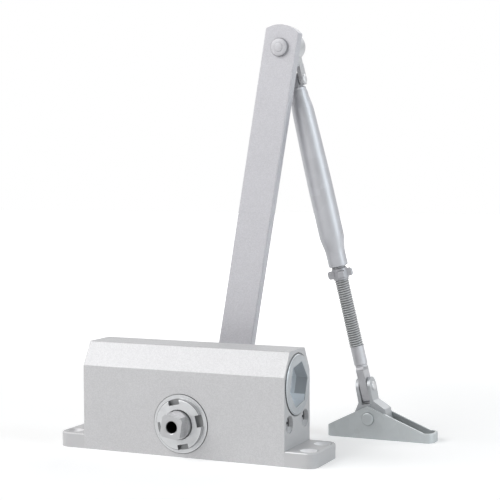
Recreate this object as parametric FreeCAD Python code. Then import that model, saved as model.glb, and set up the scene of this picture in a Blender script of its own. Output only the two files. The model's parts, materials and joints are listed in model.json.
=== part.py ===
import FreeCAD, Part

import math
import os

# Surface-mounted hydraulic door closer with a cranked main arm, a swivelling
# forearm of adjustable length and a foot bracket. Sizes are in millimetres.
# The origin is the centre of the body's mounting face, +X runs along the body
# towards the regulating valves, +Y towards the arm, +Z out of the mounting face.

# Body casting
body_length = 122.0
body_width = 36.0
body_height = 60.0
side_height = 47.2
chamfer_width = 7.4
lug_projection = 17.0
lug_thickness = 8.2
lug_corner_radius = 6.0
lug_edge_chamfer = 0.6
body_edge_radius = 0.9
fixing_spacing_x = 144.0
fixing_spacing_y = 20.0
fixing_hole_radius = 2.75
fixing_head_radius = 5.25

# Cylinder, end plugs and seals
cylinder_axis_height = 41.2
cylinder_radius = 15.0
running_clearance = 0.05
seated_clearance = 0.1
plug_thread_length = 11.0
plug_head_radius = 16.7
plug_head_gap = 0.35
plug_seat_depth = 2.0
plug_stand_out = 1.0
plug_bevel = 0.9
hex_across_flats = 22.0
hex_depth = 9.0
hex_turn = 5.0
plug_seal_section = 0.9

# Spindle, caps and bearings
spindle_axis_height = 18.4
gear_module = 1.5
pinion_teeth = 14
pressure_angle = 20.0
addendum_factor = 0.8
dedendum_factor = 1.0
tooth_backlash = 0.12
pinion_width = 12.0
journal_radius = 8.0
collar_radius = 7.8
collar_reach = 5.6
square_across_flats = 12.0
square_corner_radius = 7.5
square_length = 6.0
tapped_hole_radius = 3.0
tapped_hole_depth = 14.0
tapped_hole_chamfer = 0.8
cross_bore_radius = 12.05
cap_sleeve_inner_face = 11.0
cap_sleeve_bore = 10.25
cap_flange_radius = 16.2
cap_flange_thickness = 1.2
cap_seat_depth = 0.8
cap_seat_gap = 0.25
cap_disc_radius = 14.0
cap_disc_height = 2.6
cap_disc_chamfer = 0.6
cap_opening_radius = 8.25
cap_notch_width = 6.4
cap_notch_depth = 3.2
cap_notch_turn = 13.0
bearing_length = 5.4
seal_length = 1.5

# Piston, check valve and return spring
piston_length = 56.0
piston_stop_gap = 0.3
piston_head_length = 5.7
piston_groove_width = 1.2
piston_groove_depth = 0.7
piston_turn = 170.0
spring_bore_radius = 8.6
spring_bore_depth = 20.0
spring_wire_radius = 1.6
spring_turns = 7
spring_seat_thickness = 1.5
valve_ball_radius = 1.9
valve_port_radius = 1.2
valve_seat_length = 3.0
valve_seat_radius = 2.9
valve_seat_sink = 0.6
ball_gap = 0.03
ball_lift = 0.8

# Regulating valves in the end face
valve_spacing = 22.0
valve_height = 21.4
valve_recess_radius = 4.8
valve_recess_depth = 5.2
valve_bore_radius = 3.5
valve_bore_depth = 16.0
valve_head_radius = 4.4
valve_head_length = 2.6
valve_slot_width = 1.4
valve_slot_depth = 1.2
valve_tip_length = 3.0
valve_seal_section = 0.7
oil_way_radius = 1.2
oil_way_offset = 9.0

# Main arm
arm_length = 209.4
arm_lean = 9.6
arm_width = 20.6
arm_thickness = 6.2
arm_end_reach = 12.8
arm_end_radius = 16.5
arm_hub_straight = 15.0
arm_crank_run = 21.0
arm_crank_offset = 14.9
arm_edge_radius = 0.9
washer_radius = 9.0
washer_thickness = 1.2
screw_head_across_flats = 10.0
screw_head_height = 4.0
screw_length = 12.0

# Elbow
elbow_rivet_radius = 3.4
elbow_head_radius = 5.6
elbow_head_top_radius = 3.0
elbow_head_height = 2.4
elbow_tail_radius = 5.2
elbow_tail_height = 1.8
elbow_washer_radius = 7.6
elbow_washer_thickness = 0.8
joint_gap = 0.2
elbow_boss_radius = 8.1
elbow_boss_width = 13.2
elbow_pin_distance = 19.0
elbow_slot_depth = 7.6
elbow_ear_gap = 0.9
elbow_ear_thickness = 2.2
elbow_ear_half_width = 3.5
elbow_neck_half_depth = 4.4
elbow_pin_radius = 1.8
pin_head_radius = 2.7
pin_head_height = 0.9

# Forearm tube
forearm_lean = 11.1
forearm_tilt = 6.95
tongue_half_thickness = 2.2
tongue_half_width = 3.9
tube_waist_radius = 4.6
tube_top_radius = 5.8
tube_radius = 6.75
tube_neck_radius = 5.15
tube_waist_top = 3.9
tube_waist_run = 4.6
tube_shoulder_run = 7.5
tube_swell_run = 44.0
tube_barrel_run = 31.5
tube_taper_run = 9.0
tube_neck_run = 9.1
tube_mouth_chamfer = 0.5
tube_wall = 1.6
tube_thread_length = 14.0

# Threaded rod and lock nut
rod_radius = 3.5
rod_engagement = 26.0
nut_offset = 0.9
nut_height = 7.4
nut_hub_radius = 4.5
nut_lobe_reach = 7.3
nut_lobe_width = 4.6
nut_lobe_height = 4.3
nut_turn = 24.0
rod_flat_half_thickness = 2.2
rod_flat_half_width = 4.75
rod_flat_length = 12.8
rod_flat_tail = 8.6
rod_flat_corner = 2.5

# Foot clevis and bracket
foot_pin_distance = 17.9
foot_pin_radius = 1.9
clevis_width = 11.0
clevis_ear_thickness = 2.0
clevis_ear_gap = 0.35
clevis_floor_gap = 0.9
clevis_shoulder_height = 9.8
clevis_toe = 10.9
clevis_heel = 8.5
clevis_side_height = 3.9
clevis_drop = 5.6
clevis_base_half = 6.4
foot_rivet_radius = 2.9
foot_rivet_head_radius = 3.7
foot_rivet_head_height = 1.1
bracket_pivot_height = 11.65
bracket_wall = 1.5
bracket_side_gap = 0.2
bracket_heel = 25.4
bracket_toe = 39.0
bracket_apex_radius = 7.3
bracket_heel_height = 6.4
bracket_toe_height = 5.5
bracket_toe_land = 5.2
bracket_heel_radius = 3.2
bracket_toe_radius = 4.8
bracket_hole_radius = 2.5
bracket_heel_hole = 16.4
bracket_toe_hole = 26.0

# Derived values of the body
half_length = body_length / 2
half_width = body_width / 2
fixing_x = fixing_spacing_x / 2
fixing_y = fixing_spacing_y / 2
plug_inner_face = half_length - plug_seat_depth - plug_thread_length
pitch_radius = gear_module * pinion_teeth / 2
tip_radius = pitch_radius + addendum_factor * gear_module
root_radius = pitch_radius - dedendum_factor * gear_module
rack_pitch = math.pi * gear_module
rack_tip_height = spindle_axis_height + pitch_radius - addendum_factor * gear_module
rack_root_height = spindle_axis_height + pitch_radius + dedendum_factor * gear_module
piston_stroke = pitch_radius * math.radians(piston_turn)
piston_right = plug_inner_face - piston_stop_gap
piston_left = piston_right - piston_length
spring_bore_end = piston_left + spring_bore_depth
spring_seat_face = spring_seat_thickness - plug_inner_face
spring_coil_radius = spring_bore_radius - spring_wire_radius - 0.2

# Derived values across the width: the stack from the body's face outwards
cap_flange_face = half_width - cap_seat_depth + cap_flange_thickness
cap_disc_face = cap_flange_face + cap_disc_height
collar_face = half_width + collar_reach
spindle_end = collar_face + square_length
hub_rear = collar_face + arm_thickness
arm_front = collar_face + arm_crank_offset
arm_rear = arm_front + arm_thickness
boss_front = arm_rear + elbow_washer_thickness + joint_gap
boss_rear = boss_front + elbow_boss_width
elbow_plane = (boss_front + boss_rear) / 2
boss_half = elbow_boss_width / 2
link_rise = boss_half * math.sin(math.radians(forearm_tilt))
link_shift = boss_half * (math.cos(math.radians(forearm_tilt)) - 1)
elbow_pin_drop = elbow_pin_distance * math.cos(math.radians(forearm_tilt)) - link_rise
elbow_pin_plane = elbow_plane + link_shift + elbow_pin_distance * math.sin(math.radians(forearm_tilt))

# Derived places of the linkage at rest
elbow_x = arm_length * math.sin(math.radians(arm_lean))
elbow_z = spindle_axis_height + arm_length * math.cos(math.radians(arm_lean))
chain_reach = (elbow_z - bracket_pivot_height) / math.cos(math.radians(forearm_lean))
span_in_plane = chain_reach - elbow_pin_drop - foot_pin_distance
forearm_span = span_in_plane / math.cos(math.radians(forearm_tilt))
foot_plane = elbow_pin_plane + span_in_plane * math.tan(math.radians(forearm_tilt))
elbow_pin_x = elbow_x + elbow_pin_drop * math.sin(math.radians(forearm_lean))
elbow_pin_z = elbow_z - elbow_pin_drop * math.cos(math.radians(forearm_lean))
foot_x = elbow_x + chain_reach * math.sin(math.radians(forearm_lean))
foot_pin_x = foot_x - foot_pin_distance * math.sin(math.radians(forearm_lean))
foot_pin_z = bracket_pivot_height + foot_pin_distance * math.cos(math.radians(forearm_lean))
elbow_ear_inner = tongue_half_thickness + elbow_ear_gap
elbow_ear_outer = elbow_ear_inner + elbow_ear_thickness
ear_inner = rod_flat_half_thickness + clevis_ear_gap
ear_outer = ear_inner + clevis_ear_thickness
bracket_inner_half = clevis_width / 2 + bracket_side_gap
bracket_outer_half = bracket_inner_half + bracket_wall

# Derived distances down the forearm from its cross pin
waist_end = tube_waist_top + tube_waist_run
shoulder_end = waist_end + tube_shoulder_run
swell_end = shoulder_end + tube_swell_run
barrel_end = swell_end + tube_barrel_run
taper_end = barrel_end + tube_taper_run
tube_mouth = taper_end + tube_neck_run
nut_top = tube_mouth + nut_offset

X_AXIS = FreeCAD.Vector(1, 0, 0)
Y_AXIS = FreeCAD.Vector(0, 1, 0)
Z_AXIS = FreeCAD.Vector(0, 0, 1)
ORIGIN = FreeCAD.Vector(0, 0, 0)


def rod_x(radius, x_from, x_to, y, z):
    return Part.makeCylinder(radius, x_to - x_from, FreeCAD.Vector(x_from, y, z), X_AXIS)


def rod_y(radius, y_from, y_to, x, z):
    return Part.makeCylinder(radius, y_to - y_from, FreeCAD.Vector(x, y_from, z), Y_AXIS)


def rod_z(radius, z_from, z_to, x=0.0, y=0.0):
    return Part.makeCylinder(radius, z_to - z_from, FreeCAD.Vector(x, y, z_from), Z_AXIS)


def cone_y(radius_from, radius_to, y_from, y_to, x, z):
    return Part.makeCone(radius_from, radius_to, y_to - y_from, FreeCAD.Vector(x, y_from, z), Y_AXIS)


def block(x_from, x_to, y_from, y_to, z_from, z_to):
    corner = FreeCAD.Vector(x_from, y_from, z_from)
    return Part.makeBox(x_to - x_from, y_to - y_from, z_to - z_from, corner)


def prism(points, along):
    """Close the points into a face and extrude it along a vector."""
    wire = Part.makePolygon(points + [points[0]])
    return Part.Face(wire).extrude(along)


def profile_y(points, y_from, y_to):
    """Extrude an outline of (x, z) points along Y."""
    corners = [FreeCAD.Vector(x, y_from, z) for x, z in points]
    return prism(corners, FreeCAD.Vector(0, y_to - y_from, 0))


def turned(points):
    """Revolve an outline of (radius, z) points about Z."""
    corners = [FreeCAD.Vector(r, 0, z) for r, z in points]
    face = Part.Face(Part.makePolygon(corners + [corners[0]]))
    return face.revolve(ORIGIN, Z_AXIS, 360)


def fused(shapes):
    """Join shapes into one clean solid."""
    whole = shapes[0]
    for other in shapes[1:]:
        whole = whole.fuse(other)
    return whole.removeSplitter()


def edges_where(shape, test):
    """Pick the edges of a shape whose middle point and direction pass the test."""
    picked = []
    for edge in shape.Edges:
        middle = edge.valueAt((edge.FirstParameter + edge.LastParameter) / 2)
        ends = edge.Vertexes[-1].Point.sub(edge.Vertexes[0].Point)
        if test(middle, ends):
            picked.append(edge)
    return picked


def near(value, target, margin=0.01):
    return abs(value - target) < margin


def both_ends(shape):
    """A shape and its mirror image across the body's middle plane, as one pair."""
    return [shape, shape.mirror(ORIGIN, Y_AXIS)]


def lean_about_spindle(shape):
    """Turn a shape drawn upright at the spindle axis to the main arm's lean."""
    leaned = shape.copy()
    leaned.rotate(ORIGIN, Y_AXIS, arm_lean)
    leaned.translate(FreeCAD.Vector(0, 0, spindle_axis_height))
    return leaned


def hang(shape, x, y, z, tilt=0.0):
    """Turn a shape drawn along -Z to the forearm's lean and tilt, and set it in place."""
    hung = shape.copy()
    hung.rotate(ORIGIN, X_AXIS, tilt)
    hung.rotate(ORIGIN, Y_AXIS, -forearm_lean)
    hung.translate(FreeCAD.Vector(x, y, z))
    return hung


def on_forearm(shape):
    return hang(shape, elbow_pin_x, elbow_pin_plane, elbow_pin_z, forearm_tilt)


def on_foot(shape):
    return hang(shape, foot_x, foot_plane, bracket_pivot_height)


# Body casting

def body_block():
    top_half = half_width - chamfer_width
    outline = [
        (-half_width, 0), (half_width, 0), (half_width, side_height),
        (top_half, body_height), (-top_half, body_height), (-half_width, side_height),
    ]
    corners = [FreeCAD.Vector(-half_length, y, z) for y, z in outline]
    solid = prism(corners, FreeCAD.Vector(body_length, 0, 0))
    long_edges = edges_where(solid, lambda m, e: abs(e.x) > half_length and m.z > side_height - 1)
    return solid.makeFillet(body_edge_radius, long_edges)


def lug_plate():
    reach = half_length + lug_projection
    plate = block(-reach, reach, -half_width, half_width, 0, lug_thickness)
    corners = edges_where(plate, lambda m, e: abs(e.z) > lug_thickness / 2)
    plate = plate.makeFillet(lug_corner_radius, corners)
    rim = edges_where(plate, lambda m, e: near(m.z, lug_thickness) and near(e.z, 0))
    return plate.makeChamfer(lug_edge_chamfer, rim)


def fixing_holes():
    holes = []
    sink_depth = fixing_head_radius - fixing_hole_radius
    for x in (-fixing_x, fixing_x):
        for y in (-fixing_y, fixing_y):
            holes.append(rod_z(fixing_hole_radius, -1, lug_thickness + 1, x, y))
            sink_base = FreeCAD.Vector(x, y, lug_thickness - sink_depth)
            holes.append(Part.makeCone(fixing_hole_radius, fixing_head_radius, sink_depth, sink_base))
    return holes


def oil_ways():
    """Two drilled ways per valve: up to the cylinder, and along to the pinion chamber."""
    ways = []
    valve_bore_end = half_length - valve_bore_depth
    port_x = valve_bore_end + valve_tip_length / 2
    for side in (-1, 1):
        y = side * oil_way_offset
        ways.append(rod_x(oil_way_radius, cross_bore_radius - 2, valve_bore_end + 1, y, valve_height))
        way_top = cylinder_axis_height - math.sqrt(cylinder_radius ** 2 - oil_way_offset ** 2) + 1
        ways.append(rod_z(oil_way_radius, valve_height, way_top, port_x, y))
    return ways


def valve_pockets():
    pockets = []
    for side in (-1, 1):
        y = side * valve_spacing / 2
        recess_floor = half_length - valve_recess_depth
        pockets.append(rod_x(valve_recess_radius, recess_floor, half_length + 1, y, valve_height))
        pockets.append(rod_x(valve_bore_radius, half_length - valve_bore_depth, half_length, y, valve_height))
    return pockets


def housing():
    cuts = fixing_holes() + oil_ways() + valve_pockets()
    reach = half_length + 1
    cuts.append(rod_x(cylinder_radius, -reach, reach, 0, cylinder_axis_height))
    seat_radius = plug_head_radius + plug_head_gap
    for x_from, x_to in ((-reach, plug_seat_depth - half_length), (half_length - plug_seat_depth, reach)):
        cuts.append(rod_x(seat_radius, x_from, x_to, 0, cylinder_axis_height))
    across = half_width + 1
    cuts.append(rod_y(cross_bore_radius, -across, across, 0, spindle_axis_height))
    cap_seat = cap_flange_radius + cap_seat_gap
    for y_from, y_to in ((-across, cap_seat_depth - half_width), (half_width - cap_seat_depth, across)):
        cuts.append(rod_y(cap_seat, y_from, y_to, 0, spindle_axis_height))
    solid = fused([body_block(), lug_plate()])
    return solid.cut(cuts).removeSplitter()


# End plugs, their seals and the regulating valves

def plug_seal_place():
    return plug_inner_face + plug_thread_length / 2


def plug_groove():
    groove_x = plug_seal_place()
    outer = rod_x(cylinder_radius + 1, groove_x - 1.2, groove_x + 1.2, 0, cylinder_axis_height)
    floor_radius = cylinder_radius - 2 * plug_seal_section - 0.1
    core = rod_x(floor_radius, groove_x - 2, groove_x + 2, 0, cylinder_axis_height)
    return outer.cut(core)


def hex_prism_x(across_flats, x_from, x_to, y, z, turn):
    corner_radius = across_flats / math.sqrt(3)
    corners = []
    for index in range(6):
        angle = math.radians(turn + 60 * index)
        corner_y = y + corner_radius * math.cos(angle)
        corner_z = z + corner_radius * math.sin(angle)
        corners.append(FreeCAD.Vector(x_from, corner_y, corner_z))
    return prism(corners, FreeCAD.Vector(x_to - x_from, 0, 0))


def end_plug():
    """The plug at the valve end; the spring end takes its mirror image."""
    face = half_length + plug_stand_out
    seat = half_length - plug_seat_depth
    thread_radius = cylinder_radius - seated_clearance
    body = rod_x(thread_radius, plug_inner_face, seat, 0, cylinder_axis_height)
    head = rod_x(plug_head_radius, seat, face, 0, cylinder_axis_height)
    rim = edges_where(head, lambda m, e: near(m.x, face))
    head = head.makeChamfer(plug_bevel, rim)
    floor = face - hex_depth
    socket = hex_prism_x(hex_across_flats, floor, face + 1, 0, cylinder_axis_height, hex_turn)
    return fused([body, head]).cut([socket, plug_groove()])


def plug_seal():
    centre = FreeCAD.Vector(plug_seal_place(), 0, cylinder_axis_height)
    ring_radius = cylinder_radius - plug_seal_section - seated_clearance / 2
    return Part.makeTorus(ring_radius, plug_seal_section, centre, X_AXIS)


def mirrored_x(shape):
    return shape.mirror(ORIGIN, X_AXIS)


def valve_screw(side):
    """A slotted needle screw; side is -1 for the front one and 1 for the rear one."""
    y = side * valve_spacing / 2
    head_from = half_length - valve_recess_depth
    head_to = head_from + valve_head_length
    bore_end = half_length - valve_bore_depth
    stem_radius = valve_bore_radius - running_clearance
    tip_end = bore_end + valve_tip_length
    head = rod_x(valve_head_radius, head_from, head_to, y, valve_height)
    head = head.makeChamfer(0.4, edges_where(head, lambda m, e: near(m.x, head_to)))
    stem = rod_x(stem_radius, tip_end, head_from, y, valve_height)
    tip_base = FreeCAD.Vector(bore_end + 0.3, y, valve_height)
    tip = Part.makeCone(0.6, stem_radius - 0.8, valve_tip_length - 0.3, tip_base, X_AXIS)
    slot_floor = head_to - valve_slot_depth
    half_slot = valve_slot_width / 2
    slot = block(slot_floor, head_to + 1, y - 6, y + 6, valve_height - half_slot, valve_height + half_slot)
    groove_x = (tip_end + head_from) / 2
    band = rod_x(stem_radius + 1, groove_x - 0.9, groove_x + 0.9, y, valve_height)
    core = rod_x(stem_radius - 2 * valve_seal_section, groove_x - 2, groove_x + 2, y, valve_height)
    return fused([head, stem, tip]).cut([slot, band.cut(core)])


def valve_seal(side):
    bore_end = half_length - valve_bore_depth
    groove_x = (bore_end + valve_tip_length + half_length - valve_recess_depth) / 2
    centre = FreeCAD.Vector(groove_x, side * valve_spacing / 2, valve_height)
    ring_radius = valve_bore_radius - valve_seal_section - running_clearance
    return Part.makeTorus(ring_radius, valve_seal_section - 0.02, centre, X_AXIS)


# Spindle, caps, bearings and shaft seals

def involute_flank(base_radius, start_radius, end_radius, steps):
    """Polar points of an involute between two radii, as (radius, angle) pairs."""
    flank = []
    for index in range(steps + 1):
        radius = start_radius + (end_radius - start_radius) * index / steps
        unwound = math.acos(min(1.0, base_radius / radius))
        flank.append((radius, math.tan(unwound) - unwound))
    return flank


def pinion_outline():
    """One closed outline of the pinion in the XZ plane, with a tooth pointing along +Z."""
    base_radius = pitch_radius * math.cos(math.radians(pressure_angle))
    unwound = math.radians(pressure_angle)
    pitch_involute = math.tan(unwound) - unwound
    half_tooth = (math.pi / pinion_teeth - tooth_backlash / pitch_radius) / 2
    flank = involute_flank(base_radius, max(base_radius, root_radius), tip_radius, 5)
    outline = []
    for tooth in range(pinion_teeth):
        centre = 2 * math.pi * tooth / pinion_teeth
        side = [(root_radius, half_tooth + pitch_involute)]
        side += [(radius, half_tooth + pitch_involute - angle) for radius, angle in flank]
        outline += [(radius, centre - angle) for radius, angle in side]
        outline += [(radius, centre + angle) for radius, angle in reversed(side)]
    return [(r * math.sin(a), spindle_axis_height + r * math.cos(a)) for r, a in outline]


def square_end():
    """The rear square end, with its corners turned down, before the arm's lean."""
    half = square_across_flats / 2
    square = block(-half, half, collar_face, spindle_end, -half, half)
    round_bar = rod_y(square_corner_radius, collar_face, spindle_end, 0, 0)
    return lean_about_spindle(square.common(round_bar))


def pinion_spindle():
    half_pinion = pinion_width / 2
    pinion = profile_y(pinion_outline(), -half_pinion, half_pinion)
    shoulder_end = cap_sleeve_inner_face
    journal_end = cap_flange_face + 0.2
    z = spindle_axis_height
    solids = [pinion, rod_y(root_radius - 0.1, -shoulder_end, shoulder_end, 0, z)]
    solids.append(rod_y(journal_radius, -journal_end, journal_end, 0, z))
    solids.append(rod_y(collar_radius, -collar_face, collar_face, 0, z))
    solids += both_ends(square_end())
    hole = rod_y(tapped_hole_radius, spindle_end - tapped_hole_depth, spindle_end + 1, 0, z)
    mouth = tapped_hole_radius + tapped_hole_chamfer
    sink = cone_y(tapped_hole_radius, mouth, spindle_end - tapped_hole_chamfer, spindle_end, 0, z)
    return fused(solids).cut(both_ends(hole) + both_ends(sink))


def spindle_cap():
    """The front cap: threaded sleeve, thin flange and a raised disc with spanner notches."""
    z = spindle_axis_height
    sleeve = rod_y(cross_bore_radius - seated_clearance, cap_sleeve_inner_face, half_width, 0, z)
    flange = rod_y(cap_flange_radius, half_width - cap_seat_depth, cap_flange_face, 0, z)
    disc = rod_y(cap_disc_radius, cap_flange_face, cap_disc_face, 0, z)
    disc = disc.makeChamfer(cap_disc_chamfer, edges_where(disc, lambda m, e: near(m.y, cap_disc_face)))
    cuts = [rod_y(cap_sleeve_bore, cap_sleeve_inner_face - 1, cap_flange_face + 0.2, 0, z)]
    cuts.append(rod_y(cap_opening_radius, cap_flange_face, cap_disc_face + 1, 0, z))
    for index in range(4):
        half_notch = cap_notch_width / 2
        inner = cap_disc_radius - cap_notch_depth
        notch = block(inner, cap_disc_radius + 2, cap_flange_face, cap_disc_face + 1, -half_notch, half_notch)
        notch.rotate(ORIGIN, Y_AXIS, 90 * index - cap_notch_turn)
        notch.translate(FreeCAD.Vector(0, 0, z))
        cuts.append(notch)
    return fused([sleeve, flange, disc]).cut(cuts)


def ring_y(outer, inner, y_from, y_to):
    z = spindle_axis_height
    return rod_y(outer, y_from, y_to, 0, z).cut(rod_y(inner, y_from - 1, y_to + 1, 0, z))


def spindle_bearing():
    start = cap_sleeve_inner_face + joint_gap
    outer = cap_sleeve_bore - running_clearance
    inner = journal_radius + running_clearance
    return ring_y(outer, inner, start, start + bearing_length)


def shaft_seal():
    end = cap_flange_face + 0.2
    outer = cap_sleeve_bore - running_clearance
    inner = journal_radius + running_clearance
    return ring_y(outer, inner, end - seal_length, end)


def to_front(shape):
    return shape.mirror(ORIGIN, Y_AXIS)


# Piston with its rack, check valve and return spring

def rack_spaces():
    """Tooth spaces of the rack, cut up into the piston's flat underside."""
    slope = math.tan(math.radians(pressure_angle))
    half_pitch_space = (rack_pitch / 2 + tooth_backlash) / 2
    pitch_height = spindle_axis_height + pitch_radius
    low = rack_tip_height - 1
    half_low = half_pitch_space + (pitch_height - low) * slope
    half_high = half_pitch_space - (rack_root_height - pitch_height) * slope
    spaces = []
    first = math.ceil((piston_left + rack_pitch / 2) / rack_pitch)
    last = math.floor((piston_right - piston_head_length - rack_pitch / 2) / rack_pitch)
    for index in range(first, last + 1):
        x = index * rack_pitch
        outline = [
            (x - half_low, low), (x + half_low, low),
            (x + half_high, rack_root_height), (x - half_high, rack_root_height),
        ]
        spaces.append(profile_y(outline, -cylinder_radius, cylinder_radius))
    return spaces


def piston():
    z = cylinder_axis_height
    radius = cylinder_radius - running_clearance
    body = rod_x(radius, piston_left, piston_right, 0, z)
    body = body.makeChamfer(0.8, edges_where(body, lambda m, e: near(m.x, piston_right)))
    head_start = piston_right - piston_head_length
    wide = cylinder_radius
    flat = block(piston_left - 1, head_start, -wide, wide, z - 2 * radius, rack_tip_height)
    cuts = [flat, rod_x(spring_bore_radius, piston_left - 1, spring_bore_end, 0, z)]
    for fraction in (0.3, 0.65):
        groove_x = head_start + piston_head_length * fraction
        band = rod_x(radius + 1, groove_x, groove_x + piston_groove_width, 0, z)
        core = rod_x(radius - piston_groove_depth, groove_x - 1, groove_x + piston_groove_width + 1, 0, z)
        cuts.append(band.cut(core))
    cuts.append(rod_x(valve_port_radius, spring_bore_end - 1, piston_right, 0, z))
    pocket_depth = valve_seat_length + 2 * valve_ball_radius + ball_lift + 0.2
    pocket_radius = valve_seat_radius + running_clearance
    cuts.append(rod_x(pocket_radius, piston_right - pocket_depth, piston_right + 1, 0, z))
    return body.cut(cuts + rack_spaces())


def check_valve_seat():
    """A ported disc pressed into the piston head, with a cage of its own for the ball."""
    z = cylinder_axis_height
    start = piston_right - valve_seat_length
    ring = rod_x(valve_seat_radius, start, piston_right, 0, z)
    sink_base = FreeCAD.Vector(start, 0, z)
    mouth = valve_port_radius + valve_seat_sink
    sink = Part.makeCone(mouth, valve_port_radius, valve_seat_sink, sink_base, X_AXIS)
    return ring.cut([rod_x(valve_port_radius, start - 1, piston_right + 1, 0, z), sink])


def check_valve_ball():
    """The ball lies against the seat's 45 degree cone, a hair clear of it."""
    mouth = valve_port_radius + valve_seat_sink
    x = piston_right - valve_seat_length + mouth - (valve_ball_radius + ball_gap) * math.sqrt(2)
    return Part.makeSphere(valve_ball_radius, FreeCAD.Vector(x, 0, cylinder_axis_height))


def return_spring():
    start = spring_seat_face + spring_wire_radius
    length = spring_bore_end - spring_wire_radius - start
    helix = Part.makeHelix(length / spring_turns, length, spring_coil_radius)
    section = Part.makeCircle(spring_wire_radius, FreeCAD.Vector(spring_coil_radius, 0, 0), Y_AXIS)
    coil = Part.Wire(helix.Edges).makePipeShell([Part.Wire([section])], True, True)
    coil.rotate(ORIGIN, Y_AXIS, 90)
    coil.translate(FreeCAD.Vector(start, 0, cylinder_axis_height))
    return coil


def spring_seat():
    z = cylinder_axis_height
    disc = rod_x(spring_bore_radius + 3, -plug_inner_face, spring_seat_face, 0, z)
    return disc.cut(rod_x(spring_coil_radius - spring_wire_radius - 1, -half_length, 0, 0, z))


# Main arm and its screw

def arm_side_profile():
    """Side outline of the cranked bar as (y, z) points, the spindle axis at z = 0."""
    crank_angle = math.atan2(arm_crank_offset, arm_crank_run)
    mitre = arm_thickness * math.tan(crank_angle / 2)
    low = -arm_end_reach
    high = arm_length + arm_end_reach
    bend_low = arm_hub_straight
    bend_high = arm_hub_straight + arm_crank_run
    return [
        (collar_face, low), (hub_rear, low),
        (hub_rear, bend_low - mitre), (arm_rear, bend_high - mitre),
        (arm_rear, high), (arm_front, high), (arm_front, bend_high), (collar_face, bend_low),
    ]


def main_arm():
    half = arm_width / 2
    corners = [FreeCAD.Vector(-half, y, z) for y, z in arm_side_profile()]
    bar = prism(corners, FreeCAD.Vector(arm_width, 0, 0))
    arc_inset = arm_end_radius - arm_end_reach
    straight = block(-half, half, 0, arm_rear + 1, arc_inset, arm_length - arc_inset)
    ends = [rod_y(arm_end_radius, 0, arm_rear + 1, 0, z) for z in (arc_inset, arm_length - arc_inset)]
    bar = bar.common(fused([straight] + ends))
    long_edges = edges_where(bar, lambda m, e: near(abs(m.x), half) and abs(e.z) > arm_crank_run)
    bar = bar.makeFillet(arm_edge_radius, long_edges)
    half_hole = square_across_flats / 2 + running_clearance
    hole = block(-half_hole, half_hole, collar_face - 1, hub_rear + 1, -half_hole, half_hole)
    hole = hole.common(rod_y(square_corner_radius + running_clearance, collar_face - 1, hub_rear + 1, 0, 0))
    rivet_hole = rod_y(elbow_rivet_radius + running_clearance, arm_front - 1, arm_rear + 1, 0, arm_length)
    return lean_about_spindle(bar.cut([hole, rivet_hole]))


def arm_washer():
    end = hub_rear + washer_thickness
    return ring_y(washer_radius, tapped_hole_radius + 0.2, hub_rear, end)


def arm_screw():
    start = hub_rear + washer_thickness
    corner_radius = screw_head_across_flats / math.sqrt(3)
    outline = []
    for index in range(6):
        angle = math.radians(60 * index)
        height = spindle_axis_height + corner_radius * math.sin(angle)
        outline.append((corner_radius * math.cos(angle), height))
    head = profile_y(outline, start, start + screw_head_height)
    shank_radius = tapped_hole_radius - running_clearance
    shank_from = max(start - screw_length, spindle_end - tapped_hole_depth + 1)
    shank = rod_y(shank_radius, shank_from, start, 0, spindle_axis_height)
    return fused([head, shank])


# Elbow

def elbow_rivet():
    head_from = arm_front - elbow_head_height
    x = elbow_x
    z = elbow_z
    cone = cone_y(elbow_head_top_radius, elbow_head_radius, head_from, arm_front, x, z)
    tail_from = boss_rear + joint_gap
    shank = rod_y(elbow_rivet_radius, arm_front, tail_from, x, z)
    tail = cone_y(elbow_tail_radius, elbow_tail_radius - 1.4, tail_from, tail_from + elbow_tail_height, x, z)
    return fused([cone, shank, tail])


def elbow_washer():
    disc = rod_y(elbow_washer_radius, arm_rear, arm_rear + elbow_washer_thickness, elbow_x, elbow_z)
    hole = rod_y(elbow_rivet_radius + running_clearance, arm_rear - 1, boss_front + 1, elbow_x, elbow_z)
    return disc.cut(hole)


def tilted(shape):
    """Tilt a part of the elbow link about the foot of its boss, as the forearm tilts."""
    shape.rotate(FreeCAD.Vector(0, -boss_half, 0), X_AXIS, forearm_tilt)
    return shape


def link_boss():
    """An inclined round boss with its end faces square to the rivet."""
    over = elbow_boss_radius
    boss = tilted(rod_y(elbow_boss_radius, -boss_half - over, boss_half + over, 0, 0))
    boss = boss.common(block(-2 * over, 2 * over, -boss_half, boss_half, -3 * over, 3 * over))
    return boss.makeChamfer(0.8, edges_where(boss, lambda m, e: near(abs(m.y), boss_half)))


def link_fork():
    """Two ears for the cross pin under a short neck."""
    outer = elbow_ear_outer
    inner = elbow_ear_inner
    deep = elbow_neck_half_depth
    pin_z = -elbow_pin_distance
    slot_root = pin_z + elbow_slot_depth
    neck = block(-outer, outer, -deep, deep, slot_root, 0)
    corners = edges_where(neck, lambda m, e: near(abs(m.x), outer) and near(abs(m.y), deep))
    neck = neck.makeFillet(1.8, corners)
    wide = elbow_ear_half_width
    ears = block(-outer, outer, -wide, wide, pin_z, slot_root + 1)
    tips = rod_x(wide, -outer, outer, 0, pin_z)
    slot = block(-inner, inner, -deep - 1, deep + 1, pin_z - wide - 1, slot_root)
    pin_hole = rod_x(elbow_pin_radius + running_clearance, -outer - 1, outer + 1, 0, pin_z)
    return tilted(fused([neck, ears, tips]).cut([slot, pin_hole]))


def elbow_link():
    """A boss on the rivet and an inclined fork for the cross pin, drawn hanging from the rivet."""
    hole_radius = elbow_rivet_radius + running_clearance
    rivet_hole = rod_y(hole_radius, -boss_half - 1, boss_half + 1, 0, 0)
    link = fused([link_boss(), link_fork()]).cut(rivet_hole)
    return hang(link, elbow_x, elbow_plane, elbow_z)


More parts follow.
